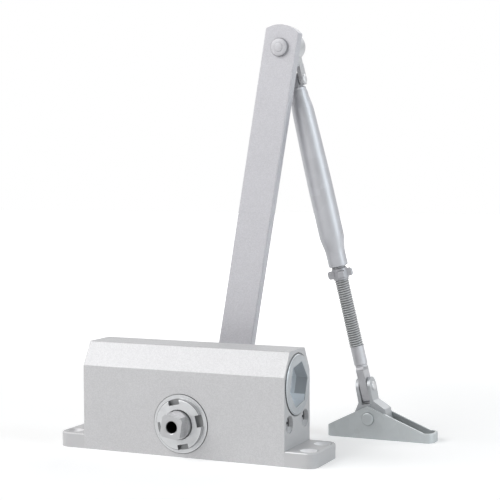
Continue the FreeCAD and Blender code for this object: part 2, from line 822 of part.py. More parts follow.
def headed_pin(radius, head_radius, reach):
    """A pin along X with a low head at each end, its shank ending at plus and minus reach."""
    shank = rod_x(radius, -reach, reach, 0, 0)
    top = head_radius - 0.7
    end = FreeCAD.Vector(reach, 0, 0)
    far_end = FreeCAD.Vector(-reach - pin_head_height, 0, 0)
    heads = [
        Part.makeCone(head_radius, top, pin_head_height, end, X_AXIS),
        Part.makeCone(top, head_radius, pin_head_height, far_end, X_AXIS),
    ]
    return fused([shank] + heads)


def elbow_pin():
    pin = headed_pin(elbow_pin_radius, pin_head_radius, elbow_ear_outer)
    return hang(pin, elbow_pin_x, elbow_pin_plane, elbow_pin_z)


# Forearm tube, rod and lock nut

def tube_profile():
    """Outside of the forearm as (radius, z) points from the tongue down to the mouth."""
    chamfer = tube_mouth_chamfer
    soft = 0.35
    return [
        (0, -tube_waist_top), (tube_waist_radius - 0.5, -tube_waist_top),
        (tube_waist_radius, -tube_waist_top - 0.6), (tube_waist_radius, -waist_end),
        (tube_top_radius - soft, -shoulder_end + tube_shoulder_run * 0.4), (tube_top_radius, -shoulder_end),
        (tube_radius, -swell_end), (tube_radius, -barrel_end),
        (tube_radius - soft, -barrel_end - tube_taper_run * 0.24),
        (tube_neck_radius + soft, -taper_end + tube_taper_run * 0.18),
        (tube_neck_radius, -taper_end), (tube_neck_radius, -tube_mouth + chamfer),
        (tube_neck_radius - chamfer, -tube_mouth), (0, -tube_mouth),
    ]


def forearm_tube():
    outside = turned(tube_profile())
    bore_radius = rod_radius + running_clearance
    hollow_radius = tube_top_radius - tube_wall
    thread_top = -tube_mouth + tube_thread_length
    hollow_top = -shoulder_end - hollow_radius
    bore = turned([
        (0, -tube_mouth - 1), (bore_radius, -tube_mouth - 1), (bore_radius, thread_top),
        (hollow_radius, thread_top + 1), (hollow_radius, hollow_top), (0, hollow_top + hollow_radius * 0.6),
    ])
    thick = tongue_half_thickness
    wide = tongue_half_width
    tongue = block(-thick, thick, -wide, wide, -tube_waist_top - 1, 0)
    tip = rod_x(wide, -thick, thick, 0, 0)
    hole = rod_x(elbow_pin_radius + running_clearance, -thick - 1, thick + 1, 0, 0)
    return on_forearm(fused([outside, tongue, tip]).cut([bore, hole]))


def adjusting_rod():
    top = -tube_mouth + rod_engagement
    pin_z = -forearm_span
    flat_top = pin_z + rod_flat_length
    flat_end = pin_z - rod_flat_tail
    thick = rod_flat_half_thickness
    wide = rod_flat_half_width
    shank = rod_z(rod_radius, flat_top, top)
    shank = shank.makeChamfer(0.6, edges_where(shank, lambda m, e: near(m.z, top)))
    flat = block(-thick, thick, -wide, wide, flat_end, flat_top)
    corners = edges_where(flat, lambda m, e: near(abs(m.y), wide) and near(m.z, flat_end))
    flat = flat.makeFillet(rod_flat_corner, corners)
    shoulders = edges_where(flat, lambda m, e: near(abs(m.y), wide) and near(m.z, flat_top))
    flat = flat.makeChamfer((wide - rod_radius) * 0.9 + 0.2, shoulders)
    blend = Part.makeCone(thick, rod_radius, 2.4, FreeCAD.Vector(0, 0, flat_top - 2.4), Z_AXIS)
    hole = rod_x(foot_pin_radius + running_clearance, -thick - 1, thick + 1, 0, pin_z)
    return on_forearm(fused([shank, flat, blend]).cut(hole))


def lock_nut():
    bottom = -nut_top - nut_height
    middle = -nut_top - nut_height / 2
    hub = rod_z(nut_hub_radius, bottom, -nut_top)
    hub = hub.makeChamfer(0.6, edges_where(hub, lambda m, e: near(m.z, bottom) or near(m.z, -nut_top)))
    solids = [hub]
    half = nut_lobe_width / 2
    low = middle - nut_lobe_height / 2
    for index in range(4):
        lobe = block(0, nut_lobe_reach, -half, half, low, low + nut_lobe_height)
        lobe = lobe.makeFillet(1.4, edges_where(lobe, lambda m, e: near(m.x, nut_lobe_reach)))
        lobe.rotate(ORIGIN, Z_AXIS, nut_turn + 90 * index)
        solids.append(lobe)
    bore = rod_z(rod_radius + running_clearance, bottom - 1, -nut_top + 1)
    return on_forearm(fused(solids).cut(bore))


# Foot clevis, its pin, the rivet and the bracket

def rod_pin():
    pin = headed_pin(foot_pin_radius, pin_head_radius, ear_outer)
    return hang(pin, foot_pin_x, foot_plane, foot_pin_z)


def foot_clevis():
    """Two ears over a base block, drawn upright with the rivet axis at the origin."""
    half = clevis_width / 2
    floor = foot_pin_distance - rod_flat_tail - clevis_floor_gap
    base = profile_y([
        (-ear_outer, clevis_shoulder_height), (-clevis_heel, clevis_side_height),
        (-clevis_heel, -clevis_side_height), (-clevis_base_half, -clevis_drop),
        (clevis_base_half, -clevis_drop), (clevis_toe, -clevis_side_height + 1.4),
        (clevis_toe, clevis_side_height), (ear_outer, clevis_shoulder_height),
    ], -half, half)
    ears = block(-ear_outer, ear_outer, -half, half, clevis_shoulder_height - 1, foot_pin_distance)
    tops = rod_x(half, -ear_outer, ear_outer, 0, foot_pin_distance)
    gap = block(-ear_inner, ear_inner, -half - 1, half + 1, floor, foot_pin_distance + half + 1)
    pin_hole_radius = foot_pin_radius + seated_clearance / 2
    pin_hole = rod_x(pin_hole_radius, -ear_outer - 1, ear_outer + 1, 0, foot_pin_distance)
    rivet_hole = rod_y(foot_rivet_radius + running_clearance, -half - 1, half + 1, 0, 0)
    return on_foot(fused([base, ears, tops]).cut([gap, pin_hole, rivet_hole]))


def foot_rivet():
    wall_face = bracket_outer_half
    z = bracket_pivot_height
    shank = rod_y(foot_rivet_radius, foot_plane - wall_face, foot_plane + wall_face, foot_x, z)
    top = foot_rivet_head_radius - 0.9
    front = foot_plane - wall_face
    rear = foot_plane + wall_face
    heads = [
        cone_y(top, foot_rivet_head_radius, front - foot_rivet_head_height, front, foot_x, z),
        cone_y(foot_rivet_head_radius, top, rear, rear + foot_rivet_head_height, foot_x, z),
    ]
    return fused([shank] + heads)


def bracket_plan(inset, z_from, z_to):
    """Plan of the bracket drawn in by an inset, its heel and toe corners rounded."""
    half = bracket_outer_half - inset
    heel = inset - bracket_heel
    toe = bracket_toe - inset
    plan = block(heel, toe, -half, half, z_from, z_to)
    for end, radius in ((heel, bracket_heel_radius), (toe, bracket_toe_radius)):
        corners = edges_where(plan, lambda m, e: near(m.x, end) and abs(e.z) > 0.1)
        plan = plan.makeFillet(max(radius - inset, 0.5), corners)
    return plan


def bracket_side():
    """Side outline: low heel, apex rounded about the pivot, long slope to the toe."""
    pivot = bracket_pivot_height
    apex = bracket_apex_radius
    heel_fall = pivot - bracket_heel_height
    heel_slope = math.asin(apex / math.hypot(bracket_heel, heel_fall)) - math.atan2(heel_fall, bracket_heel)
    toe_start = bracket_toe - bracket_toe_land
    toe_fall = pivot - bracket_toe_height
    toe_slope = math.asin(apex / math.hypot(toe_start, toe_fall)) - math.atan2(toe_fall, toe_start)
    heel = -bracket_heel
    outline = [(heel - 1, -1), (heel - 1, bracket_heel_height), (heel, bracket_heel_height)]
    steps = 8
    first = math.radians(90) + heel_slope
    last = math.radians(90) - toe_slope
    for index in range(steps + 1):
        angle = first + (last - first) * index / steps
        outline.append((apex * math.cos(angle), pivot + apex * math.sin(angle)))
    outline += [(toe_start, bracket_toe_height), (bracket_toe + 1, bracket_toe_height), (bracket_toe + 1, -1)]
    return profile_y(outline, -bracket_outer_half - 1, bracket_outer_half + 1)


def foot_bracket():
    tall = bracket_pivot_height + bracket_apex_radius + 1
    shell = bracket_plan(0, 0, tall).cut(bracket_plan(bracket_wall, bracket_wall, tall + 1))
    shell = shell.common(bracket_side())
    places = (-bracket_heel_hole, bracket_toe_hole)
    holes = [rod_z(bracket_hole_radius, -1, bracket_wall + 1, x, 0) for x in places]
    wall_hole = foot_rivet_radius + seated_clearance / 2
    holes.append(rod_y(wall_hole, -bracket_outer_half - 1, bracket_outer_half + 1, 0, bracket_pivot_height))
    bracket = shell.cut(holes)
    bracket.translate(FreeCAD.Vector(foot_x, foot_plane, 0))
    return bracket


def all_parts():
    return {
        "housing": housing(),
        "end_plug_right": end_plug(),
        "end_plug_left": mirrored_x(end_plug()),
        "plug_seal_right": plug_seal(),
        "plug_seal_left": mirrored_x(plug_seal()),
        "closing_speed_valve": valve_screw(-1),
        "latching_speed_valve": valve_screw(1),
        "closing_valve_seal": valve_seal(-1),
        "latching_valve_seal": valve_seal(1),
        "front_cap": to_front(spindle_cap()),
        "rear_cap": spindle_cap(),
        "front_bearing": to_front(spindle_bearing()),
        "rear_bearing": spindle_bearing(),
        "front_shaft_seal": to_front(shaft_seal()),
        "rear_shaft_seal": shaft_seal(),
        "pinion_spindle": pinion_spindle(),
        "piston": piston(),
        "check_valve_seat": check_valve_seat(),
        "check_valve_ball": check_valve_ball(),
        "return_spring": return_spring(),
        "spring_seat": spring_seat(),
        "main_arm": main_arm(),
        "arm_washer": arm_washer(),
        "arm_screw": arm_screw(),
        "elbow_rivet": elbow_rivet(),
        "elbow_washer": elbow_washer(),
        "elbow_link": elbow_link(),
        "elbow_pin": elbow_pin(),
        "forearm_tube": forearm_tube(),
        "lock_nut": lock_nut(),
        "adjusting_rod": adjusting_rod(),
        "rod_pin": rod_pin(),
        "foot_clevis": foot_clevis(),
        "foot_rivet": foot_rivet(),
        "foot_bracket": foot_bracket(),
    }


def report_place(name, x, y, z):
    print(f"{name}: {x:.4f} {y:.4f} {z:.4f}")


os.makedirs("parts", exist_ok=True)
for node, shape in all_parts().items():
    solids = shape.Solids
    print(f"{node}: {len(solids)} solid, valid {shape.isValid()}, volume {shape.Volume:.1f}")
    shape.exportStep(f"parts/{node}.step")

report_place("elbow rivet axis", elbow_x, elbow_plane, elbow_z)
report_place("elbow cross pin", elbow_pin_x, elbow_pin_plane, elbow_pin_z)
report_place("foot cross pin", foot_pin_x, foot_plane, foot_pin_z)
report_place("foot rivet axis", foot_x, foot_plane, bracket_pivot_height)
report_place("arm planes", collar_face, arm_front, arm_rear)
print(f"forearm span {forearm_span:.3f}, piston stroke {piston_stroke:.3f}, pitch radius {pitch_radius:.3f}")
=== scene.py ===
import json
import logging
import math
from abc import ABC, abstractmethod
from dataclasses import dataclass
from enum import Enum
from typing import Any, ClassVar, Optional

import bmesh
import bpy
from mathutils import Matrix, Vector

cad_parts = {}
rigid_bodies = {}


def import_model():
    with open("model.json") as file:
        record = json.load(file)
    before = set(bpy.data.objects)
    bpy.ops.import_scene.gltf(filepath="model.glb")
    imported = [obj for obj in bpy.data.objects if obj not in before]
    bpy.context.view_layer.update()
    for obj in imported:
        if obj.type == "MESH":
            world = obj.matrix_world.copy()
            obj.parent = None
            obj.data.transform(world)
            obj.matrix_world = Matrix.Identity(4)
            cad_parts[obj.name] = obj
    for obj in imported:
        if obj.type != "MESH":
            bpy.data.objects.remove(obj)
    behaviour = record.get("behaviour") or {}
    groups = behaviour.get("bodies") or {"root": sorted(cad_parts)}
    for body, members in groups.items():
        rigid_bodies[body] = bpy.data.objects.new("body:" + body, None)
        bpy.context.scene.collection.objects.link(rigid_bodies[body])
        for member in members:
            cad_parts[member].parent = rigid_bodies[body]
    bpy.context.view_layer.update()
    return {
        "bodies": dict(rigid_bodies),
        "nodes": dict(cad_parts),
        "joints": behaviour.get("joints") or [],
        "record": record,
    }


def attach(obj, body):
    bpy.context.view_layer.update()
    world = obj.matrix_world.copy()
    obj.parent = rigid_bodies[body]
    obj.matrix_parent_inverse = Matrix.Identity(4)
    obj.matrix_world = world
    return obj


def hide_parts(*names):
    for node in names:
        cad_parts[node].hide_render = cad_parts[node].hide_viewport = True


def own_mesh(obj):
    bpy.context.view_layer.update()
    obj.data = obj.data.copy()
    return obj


log = logging.getLogger("door_closer")

MM = 0.001
FAR = 1000.0
RING_SCALE = 0.314
Point = tuple[float, float, float]
Colour = tuple[float, float, float]
Outline = list[tuple[float, float]]


class Body(Enum):
    """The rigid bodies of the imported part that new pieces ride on."""

    CASING = "casing"
    CLOSING_VALVE = "closing_valve"
    LATCHING_VALVE = "latching_valve"
    SPINDLE = "spindle_and_arm"
    ELBOW = "elbow"
    FOREARM = "forearm"
    NUT = "nut"
    ROD = "rod"
    CLEVIS = "clevis"
    BRACKET = "bracket"


class Slot(Enum):
    """The record's material slots."""

    PAINT = "silver_paint"
    PLUG = "plug_paint"
    ZINC = "bright_zinc"
    BRACKET = "bracket_zinc"
    SPINDLE = "spindle_steel"
    ROD = "rod_steel"
    INNER = "inner_steel"
    SPRING = "spring_steel"
    BRONZE = "bearing_bronze"
    RUBBER = "seal_rubber"


# Shader building

class Level:
    """A number that varies over a surface, which Python operators turn into Math nodes."""

    def __init__(self, desk: "NodeDesk", socket: bpy.types.NodeSocket) -> None:
        """Wrap the output that carries the number, on the desk that owns its tree."""
        self.desk = desk
        self.socket = socket

    def _join(self, operation: str, first: Any, second: Any) -> "Level":
        """Add one Math node on two values or levels, and return its output as a level."""
        made = self.desk.node("ShaderNodeMath", {"operation": operation}, {0: first, 1: second})
        return Level(self.desk, made.outputs[0])

    def __add__(self, other: Any) -> "Level":
        """Sum."""
        return self._join("ADD", self, other)

    __radd__ = __add__

    def __sub__(self, other: Any) -> "Level":
        """Difference."""
        return self._join("SUBTRACT", self, other)

    def __rsub__(self, other: Any) -> "Level":
        """Difference with the level second."""
        return self._join("SUBTRACT", other, self)

    def __mul__(self, other: Any) -> "Level":
        """Product."""
        return self._join("MULTIPLY", self, other)

    def __gt__(self, other: Any) -> "Level":
        """One where the level is greater, zero elsewhere."""
        return self._join("GREATER_THAN", self, other)

    def __lt__(self, other: Any) -> "Level":
        """One where the level is less, zero elsewhere."""
        return self._join("LESS_THAN", self, other)


class NodeDesk:
    """Builds one node material around a Principled shader."""

    def __init__(self, name: str) -> None:
        """Start a material.

        Args:
            name: The material's name.
        """
        self.material = bpy.data.materials.new(name)
        self.material.use_nodes = True
        self.tree = self.material.node_tree
        self.shader = self.tree.nodes["Principled BSDF"]
        self.place = self.node("ShaderNodeTexCoord").outputs["Object"]

    def node(
        self, kind: str, settings: Optional[dict] = None, sockets: Optional[dict] = None,
    ) -> bpy.types.Node:
        """Add a node.

        Args:
            kind: The node's type name.
            settings: Its own settings, set first; "stops" fills a colour ramp.
            sockets: Its inputs, by name or number, as values, levels or sockets.

        Returns:
            The new node.
        """
        made = self.tree.nodes.new(kind)
        for name, value in (settings or {}).items():
            if name == "stops":
                self._fill_ramp(made, value)
            else:
                setattr(made, name, value)
        for name, value in (sockets or {}).items():
            self.feed(made.inputs[name], value)
        return made

    @staticmethod
    def _fill_ramp(ramp: bpy.types.Node, stops: list[tuple[float, Colour]]) -> None:
        """Give a colour ramp its stops.

        Args:
            ramp: The colour ramp node.
            stops: Places and colours in order.
        """
        elements = ramp.color_ramp.elements
        while len(elements) < len(stops):
            elements.new(1.0)
        for element, (place, colour) in zip(elements, stops):
            element.position = place
            element.color = (*colour, 1.0)

    def feed(self, target: bpy.types.NodeSocket, value: Any) -> None:
        """Set or link one input.

        Args:
            target: The input socket.
            value: A plain value, a level, or another node's output.
        """
        if isinstance(value, Level):
            value = value.socket
        if isinstance(value, bpy.types.NodeSocket):
            self.tree.links.new(value, target)
        else:
            target.default_value = value

    def at(self, stretch: Point = (1.0, 1.0, 1.0), centre: Point = (0.0, 0.0, 0.0)) -> bpy.types.NodeSocket:
        """Coordinates of the piece, moved and stretched for one pattern.

        Args:
            stretch: Scale along each axis.
            centre: The point that goes to the origin, in metres.

        Returns:
            The vector output.
        """
        shift = tuple(-value * factor for value, factor in zip(centre, stretch))
        sockets = {"Vector": self.place, "Location": shift, "Scale": stretch}
        return self.node("ShaderNodeMapping", {"vector_type": "POINT"}, sockets).outputs[0]

    def noise(self, size: float, detail: float = 2.0, stretch: Point = (1.0, 1.0, 1.0)) -> Level:
        """Soft noise of about 0 to 1, its blotches a given size in metres before the stretch."""
        sockets = {"Vector": self.at(stretch), "Scale": 1.0 / size, "Detail": detail}
        return Level(self, self.node("ShaderNodeTexNoise", None, sockets).outputs[0])

    def cells(self, size: float, stretch: Point = (1.0, 1.0, 1.0)) -> Level:
        """A random number for each small cell.

        Args:
            size: Width of one cell in metres.
            stretch: Scale along each axis.

        Returns:
            The random number, 0 to 1.
        """
        sockets = {"Vector": self.at(stretch), "Scale": 1.0 / size}
        voronoi = self.node("ShaderNodeTexVoronoi", {"feature": "F1"}, sockets)
        parts = self.node("ShaderNodeSeparateColor", None, {"Color": voronoi.outputs["Color"]})
        return Level(self, parts.outputs[0])

    def rings(self, axis: str, centre: Point, width: float) -> Level:
        """Fine tool rings round an axis.

        Args:
            axis: The axis they circle, X, Y or Z.
            centre: A point on it.
            width: Width of one ring in metres.

        Returns:
            The rings, 0 to 1.
        """
        settings = {"wave_type": "RINGS", "rings_direction": axis}
        sockets = {
            "Vector": self.at(centre=centre), "Scale": RING_SCALE / width, "Distortion": 1.5, "Detail": 2.0,
        }
        return Level(self, self.node("ShaderNodeTexWave", settings, sockets).outputs["Fac"])

    def along(self, axis: str) -> Level:
        """One of the piece's own coordinates, X, Y or Z, in metres."""
        parts = self.node("ShaderNodeSeparateXYZ", None, {"Vector": self.place})
        return Level(self, parts.outputs[axis])

    def reach(self, axis: str, centre: Point) -> Level:
        """Distance from a line along an axis.

        Args:
            axis: The line's axis, X, Y or Z.
            centre: A point on it, in metres.

        Returns:
            The distance in metres.
        """
        stretch = tuple(0.0 if name == axis else 1.0 for name in "XYZ")
        flat = self.at(stretch, centre)
        length = self.node("ShaderNodeVectorMath", {"operation": "LENGTH"}, {0: flat})
        return Level(self, length.outputs["Value"])

    def between(self, share: Level, low: Colour, high: Colour) -> bpy.types.NodeSocket:
        """Mix two colours, where the share is how much there is of the high one."""
        ramp = self.node("ShaderNodeValToRGB", {"stops": [(0.0, low), (1.0, high)]}, {"Fac": share})
        return ramp.outputs["Color"]

    def relief(self, height: Level, depth: float, strength: float = 1.0) -> None:
        """Feed a bump into the shader's normal, where a height of 1 is the depth in metres."""
        sockets = {"Height": height, "Distance": depth, "Strength": strength}
        self.feed(self.shader.inputs["Normal"], self.node("ShaderNodeBump", None, sockets).outputs[0])

    def set(self, **inputs: Any) -> None:
        """Set the shader's inputs; underscores in a name stand for spaces."""
        for name, value in inputs.items():
            self.feed(self.shader.inputs[name.replace("_", " ")], value)


def shade(colour: Colour, factor: float) -> Colour:
    """A colour with each channel multiplied by a factor, up to 1."""
    return tuple(min(1.0, channel * factor) for channel in colour)


@dataclass(frozen=True)
class Zone:
    """A box or a ring in the part's frame where painted shade or painted light makes the finish darker or
    lighter, in millimetres.

    The box runs from low to high, and an axis whose limits lie FAR or more apart isn't limited. A ring also
    keeps between two radii round an axis through its centre. The tone multiplies the finish's colour.
    """

    low: Point
    high: Point
    tone: float
    axis: str = ""
    centre: Point = (0.0, 0.0, 0.0)
    inner: float = 0.0
    outer: float = FAR

    @classmethod
    def ring(
        cls, axis: str, centre: Point, span: tuple[float, float], radii: tuple[float, float], tone: float,
    ) -> "Zone":
        """A ring that is limited along its own axis only.

        Args:
            axis: The axis it circles, X, Y or Z.
            centre: A point on that axis.
            span: Where it starts and ends along the axis.
            radii: Its inner and outer radius.
            tone: What the colour is multiplied by.

        Returns:
            The zone.
        """
        low = tuple(span[0] if name == axis else -FAR for name in "XYZ")
        high = tuple(span[1] if name == axis else FAR for name in "XYZ")
        return cls(low, high, tone, axis, centre, *radii)

    def mask(self, desk: NodeDesk) -> Level:
        """Where the zone is.

        Args:
            desk: The desk to build on.

        Returns:
            One inside the zone and zero outside it.
        """
        share = 1
        for axis, low, high in zip("XYZ", self.low, self.high):
            if high - low < FAR:
                place = desk.along(axis)
                share = (place > low * MM) * (place < high * MM) * share
        if self.axis:
            reach = desk.reach(self.axis, tuple(value * MM for value in self.centre))
            share = (reach > self.inner * MM) * (reach < self.outer * MM) * share
        return share


@dataclass(frozen=True)
class Finish(ABC):
    """A finish with a name, a main colour and a gloss."""

    name: str
    colour: Colour
    roughness: float
    zones: tuple[Zone, ...] = ()

    def zoned(self, desk: NodeDesk, colour: bpy.types.NodeSocket) -> bpy.types.NodeSocket:
        """The colour with the painted shade or painted light of each of the finish's zones.

        Args:
            desk: The desk to build on.
            colour: The clean colour.

        Returns:
            The colour with its painted shade and light.
        """
        for zone in self.zones:
            sockets = {0: zone.mask(desk), 6: colour, 7: (*shade(self.colour, zone.tone), 1.0)}
            colour = desk.node("ShaderNodeMix", {"data_type": "RGBA"}, sockets).outputs[2]
        return colour

    @abstractmethod
    def dress(self, desk: NodeDesk) -> None:
        """Build the finish's pattern on the desk's shader."""

    def material(self) -> bpy.types.Material:
        """Build the material.

        Returns:
            The finished material.
        """
        desk = NodeDesk(self.name)
        self.dress(desk)
        desk.material.diffuse_color = (*self.colour, 1.0)
        return desk.material


@dataclass(frozen=True)
class FlakePaint(Finish):
    """Silver paint with fine metal flakes under a thin clear coat."""

    flake: float = 0.45 * MM
    mottle: float = 14 * MM
    metallic: float = 0.20

    def dress(self, desk: NodeDesk) -> None:
        """Vary the colour from flake to flake and a little from place to place."""
        flakes = desk.cells(self.flake)
        blotch = desk.noise(self.mottle, 3.0)
        grain = flakes * 0.5 + desk.noise(self.flake * 3.1, 2.0) * 0.32 + blotch * 0.26 - 0.06
        bright = flakes > 0.94
        low, high = shade(self.colour, 0.88), shade(self.colour, 1.12)
        desk.set(
            Base_Color=self.zoned(desk, desk.between(grain, low, high)),
            Metallic=self.metallic,
            Roughness=self.roughness - bright * 0.12 + blotch * 0.08,
            Coat_Weight=0.08,
            Coat_Roughness=0.3,
        )
        desk.relief(flakes * 0.35 + desk.noise(1.6 * MM, 2.0) * 0.65, 0.018 * MM, 0.5)


@dataclass(frozen=True)
class ZincPlate(Finish):
    """Zinc plate: soft crystal patches and fine handling marks."""

    patch: float = 3.2 * MM
    dullness: float = 0.10
    metallic: float = 0.85

    def dress(self, desk: NodeDesk) -> None:
        """Patch the colour and the gloss."""
        patches = desk.cells(self.patch) * 0.3 + desk.noise(self.patch * 2.2, 4.0) * 0.7
        marks = desk.noise(0.5 * MM, 2.0, (1.0, 1.0, 0.14))
        tone = patches * 0.75 + marks * 0.25
        low, high = shade(self.colour, 0.84), shade(self.colour, 1.12)
        desk.set(
            Base_Color=self.zoned(desk, desk.between(tone, low, high)),
            Metallic=self.metallic,
            Roughness=self.roughness + patches * self.dullness + marks * 0.06,
        )
        desk.relief(marks * 0.6 + patches * 0.4, 0.02 * MM, 0.4)


class Grain(Enum):
    """The axis that a machined face's tool marks circle."""

    ROUND_X = "X"
    ROUND_Y = "Y"


@dataclass(frozen=True)
class MachinedSteel(Finish):
    """Turned or ground steel with fine rings round an axis."""

    grain: Grain = Grain.ROUND_Y
    centre: Point = (0.0, 0.0, 0.0)
    ring: float = 0.35 * MM

    def dress(self, desk: NodeDesk) -> None:
        """Run fine rings round the axis and stain the metal slightly."""
        rings = desk.rings(self.grain.value, self.centre, self.ring)
        stain = desk.noise(6 * MM, 4.0)
        tone = rings * 0.35 + stain * 0.65
        low, high = shade(self.colour, 0.80), shade(self.colour, 1.14)
        desk.set(
            Base_Color=self.zoned(desk, desk.between(tone, low, high)),
            Metallic=0.9,
            Roughness=self.roughness + stain * 0.12,
        )
        desk.relief(rings, 0.012 * MM, 0.5)


@dataclass(frozen=True)
class SealRubber(Finish):
    """Black rubber with a faint bloom."""

    def dress(self, desk: NodeDesk) -> None:
        """Bloom the surface in soft patches."""
        bloom = desk.noise(2.5 * MM, 4.0)
        desk.set(
            Base_Color=desk.between(bloom, self.colour, shade(self.colour, 1.9)),
            Roughness=self.roughness + bloom * 0.2,
        )
        desk.relief(desk.noise(0.3 * MM, 2.0), 0.01 * MM, 0.4)


@dataclass(frozen=True)
class PorousBronze(Finish):
    """Sintered bronze with open pores."""

    def dress(self, desk: NodeDesk) -> None:
        """Scatter dark pores over warm metal."""
        pores = desk.cells(0.25 * MM) > 0.82
        tone = desk.noise(2 * MM, 3.0) - pores * 0.45
        desk.set(
            Base_Color=desk.between(tone, shade(self.colour, 0.55), shade(self.colour, 1.1)),
            Metallic=0.85,
            Roughness=self.roughness + pores * 0.3,
        )
        desk.relief(1 - pores, 0.02 * MM, 0.5)


SPINDLE_AXIS: Point = (0.0, 0.0, 18.4)
CYLINDER_AXIS: Point = (0.0, 0.0, 41.2)
VALVE_AXES: tuple[Point, Point] = ((0.0, -11.0, 21.4), (0.0, 11.0, 21.4))
ELBOW_AXIS: Point = (34.92, 0.0, 224.87)
FOOT_AXIS: Point = (76.75, 0.0, 11.65)
# Painted highlight tones in the countersinks of the left and right lug
LUG_HIGHLIGHT_TONES = ((-72.0, 1.18), (72.0, 1.5))
LUG_ROWS = (-10.0, 10.0)
SPINDLE_LINE: Point = tuple(value * MM for value in SPINDLE_AXIS)
CYLINDER_LINE: Point = tuple(value * MM for value in CYLINDER_AXIS)

# Painted shade on the end face and right lug and on the left lug's front, a painted highlight on the right
# lug's top front edge, painted highlights in the countersinks, painted shade in the valve recesses and
# painted light on their lower walls
CASTING_PAINTED_LIGHT_AND_SHADE = (
    Zone((60.8, -FAR, -FAR), (FAR, FAR, FAR), 0.94),
    Zone((-80.0, -19.0, -1.0), (-61.0, -17.0, 7.6), 0.95),
    Zone((61.3, -19.0, 7.7), (74.5, -17.5, 8.4), 1.5),
    *(
        Zone((-74.4, -FAR, 4.0), (74.8, FAR, 8.05), tone, "Z", (x, y, 0.0), 2.5, 5.4)
        for x, tone in LUG_HIGHLIGHT_TONES for y in LUG_ROWS
    ),
    *(Zone.ring("X", axis, (54.0, 58.7), (4.4, 5.0), 0.30) for axis in VALVE_AXES),
    *(Zone((57.4, -FAR, 10.0), (60.7, FAR, 19.4), 1.55, "X", axis, 4.4, 5.0) for axis in VALVE_AXES),
)
# Painted shade in the gap round the head, paler on its upper part, a painted highlight on the head's edge,
# painted shade in the socket, and painted light on the socket's floor and lower side
PLUG_PAINTED_LIGHT_AND_SHADE = (
    Zone.ring("X", CYLINDER_AXIS, (60.0, 61.45), (15.0, 18.0), 0.22),
    Zone((60.0, -20.0, 46.0), (61.45, 20.0, 60.0), 0.45, "X", CYLINDER_AXIS, 15.0, 18.0),
    Zone((61.45, -20.0, 20.0), (62.1, 4.0, 60.0), 1.7, "X", CYLINDER_AXIS, 16.2, 17.0),
    Zone.ring("X", CYLINDER_AXIS, (50.0, 61.6), (0.0, 13.0), 0.92),
    Zone.ring("X", CYLINDER_AXIS, (50.0, 55.4), (0.0, 13.0), 1.45),
    Zone((50.0, -FAR, 20.0), (61.6, FAR, 34.7), 1.75, "X", CYLINDER_AXIS, 0.0, 13.0),
)
# Painted shade in the cap's notches, on the side of its disc and on the side of its flange
CAP_PAINTED_SHADE = (
    Zone.ring("Y", SPINDLE_AXIS, (-20.8, -18.3), (9.5, 13.95), 0.40),
    Zone.ring("Y", SPINDLE_AXIS, (-20.4, -18.45), (13.9, 14.1), 0.75),
    Zone.ring("Y", SPINDLE_AXIS, (-18.45, -17.5), (16.05, 16.4), 0.35),
)
# Painted shade in the spindle's hole
SPINDLE_PAINTED_SHADE = (Zone.ring("Y", SPINDLE_AXIS, (-29.8, -15.0), (0.0, 3.3), 0.10),)
# Painted shade on the steep side of the rivet's head and on the edge of its middle
RIVET_PAINTED_SHADE = (
    Zone.ring("Y", ELBOW_AXIS, (30.0, 38.6), (4.9, 5.6), 0.50),
    Zone.ring("Y", ELBOW_AXIS, (30.0, 38.6), (2.5, 2.7), 0.80),
)
# Painted shade on the ledge above the rod's flat
ROD_PAINTED_SHADE = (Zone((-FAR, -FAR, 39.5), (FAR, FAR, 41.3), 0.75),)
# Painted shade inside the channel and on the rim of its rivet
BRACKET_PAINTED_SHADE = (
    Zone((54.5, 70.9, -FAR), (113.0, 82.4, FAR), 0.76),
    Zone.ring("Y", FOOT_AXIS, (60.0, 95.0), (3.5, 3.9), 0.58),
)

FINISHES: dict[Slot, Finish] = {
    Slot.PAINT: FlakePaint("silver_paint", (0.62, 0.617, 0.627), 0.45, CASTING_PAINTED_LIGHT_AND_SHADE),
    Slot.PLUG: ZincPlate("plug_paint", (0.50, 0.52, 0.54), 0.34, PLUG_PAINTED_LIGHT_AND_SHADE, 4 * MM, 0.08, 0.45),
    Slot.ZINC: ZincPlate("bright_zinc", (0.66, 0.665, 0.675), 0.38, CAP_PAINTED_SHADE),
    Slot.BRACKET: ZincPlate("bracket_zinc", (0.60, 0.63, 0.64), 0.42, BRACKET_PAINTED_SHADE, 5 * MM, 0.1, 0.6),
    Slot.SPINDLE: MachinedSteel(
        "spindle_steel", (0.54, 0.54, 0.55), 0.30, SPINDLE_PAINTED_SHADE, Grain.ROUND_Y, SPINDLE_LINE,
    ),
    Slot.ROD: ZincPlate("rod_steel", (0.55, 0.55, 0.57), 0.44, ROD_PAINTED_SHADE, 2 * MM),
    Slot.INNER: MachinedSteel("inner_steel", (0.38, 0.38, 0.40), 0.30, (), Grain.ROUND_X, CYLINDER_LINE),
    Slot.SPRING: ZincPlate("spring_steel", (0.13, 0.135, 0.145), 0.38, (), 2 * MM),
    Slot.BRONZE: PorousBronze("bearing_bronze", (0.46, 0.26, 0.10), 0.42),
    Slot.RUBBER: SealRubber("seal_rubber", (0.012, 0.012, 0.013), 0.55),
}
ARM_PAINT = FlakePaint("arm_paint", (0.60, 0.595, 0.625), 0.45)
RIVET_PAINT = FlakePaint("rivet_paint", (0.58, 0.575, 0.60), 0.45, RIVET_PAINTED_SHADE)
TUBE_PAINT = ZincPlate("tube_paint", (0.53, 0.535, 0.56), 0.42, (), 7 * MM, 0.06, 0.75)
THREAD_ZINC = ZincPlate("thread_zinc", (0.56, 0.565, 0.57), 0.30, (), 1.5 * MM)
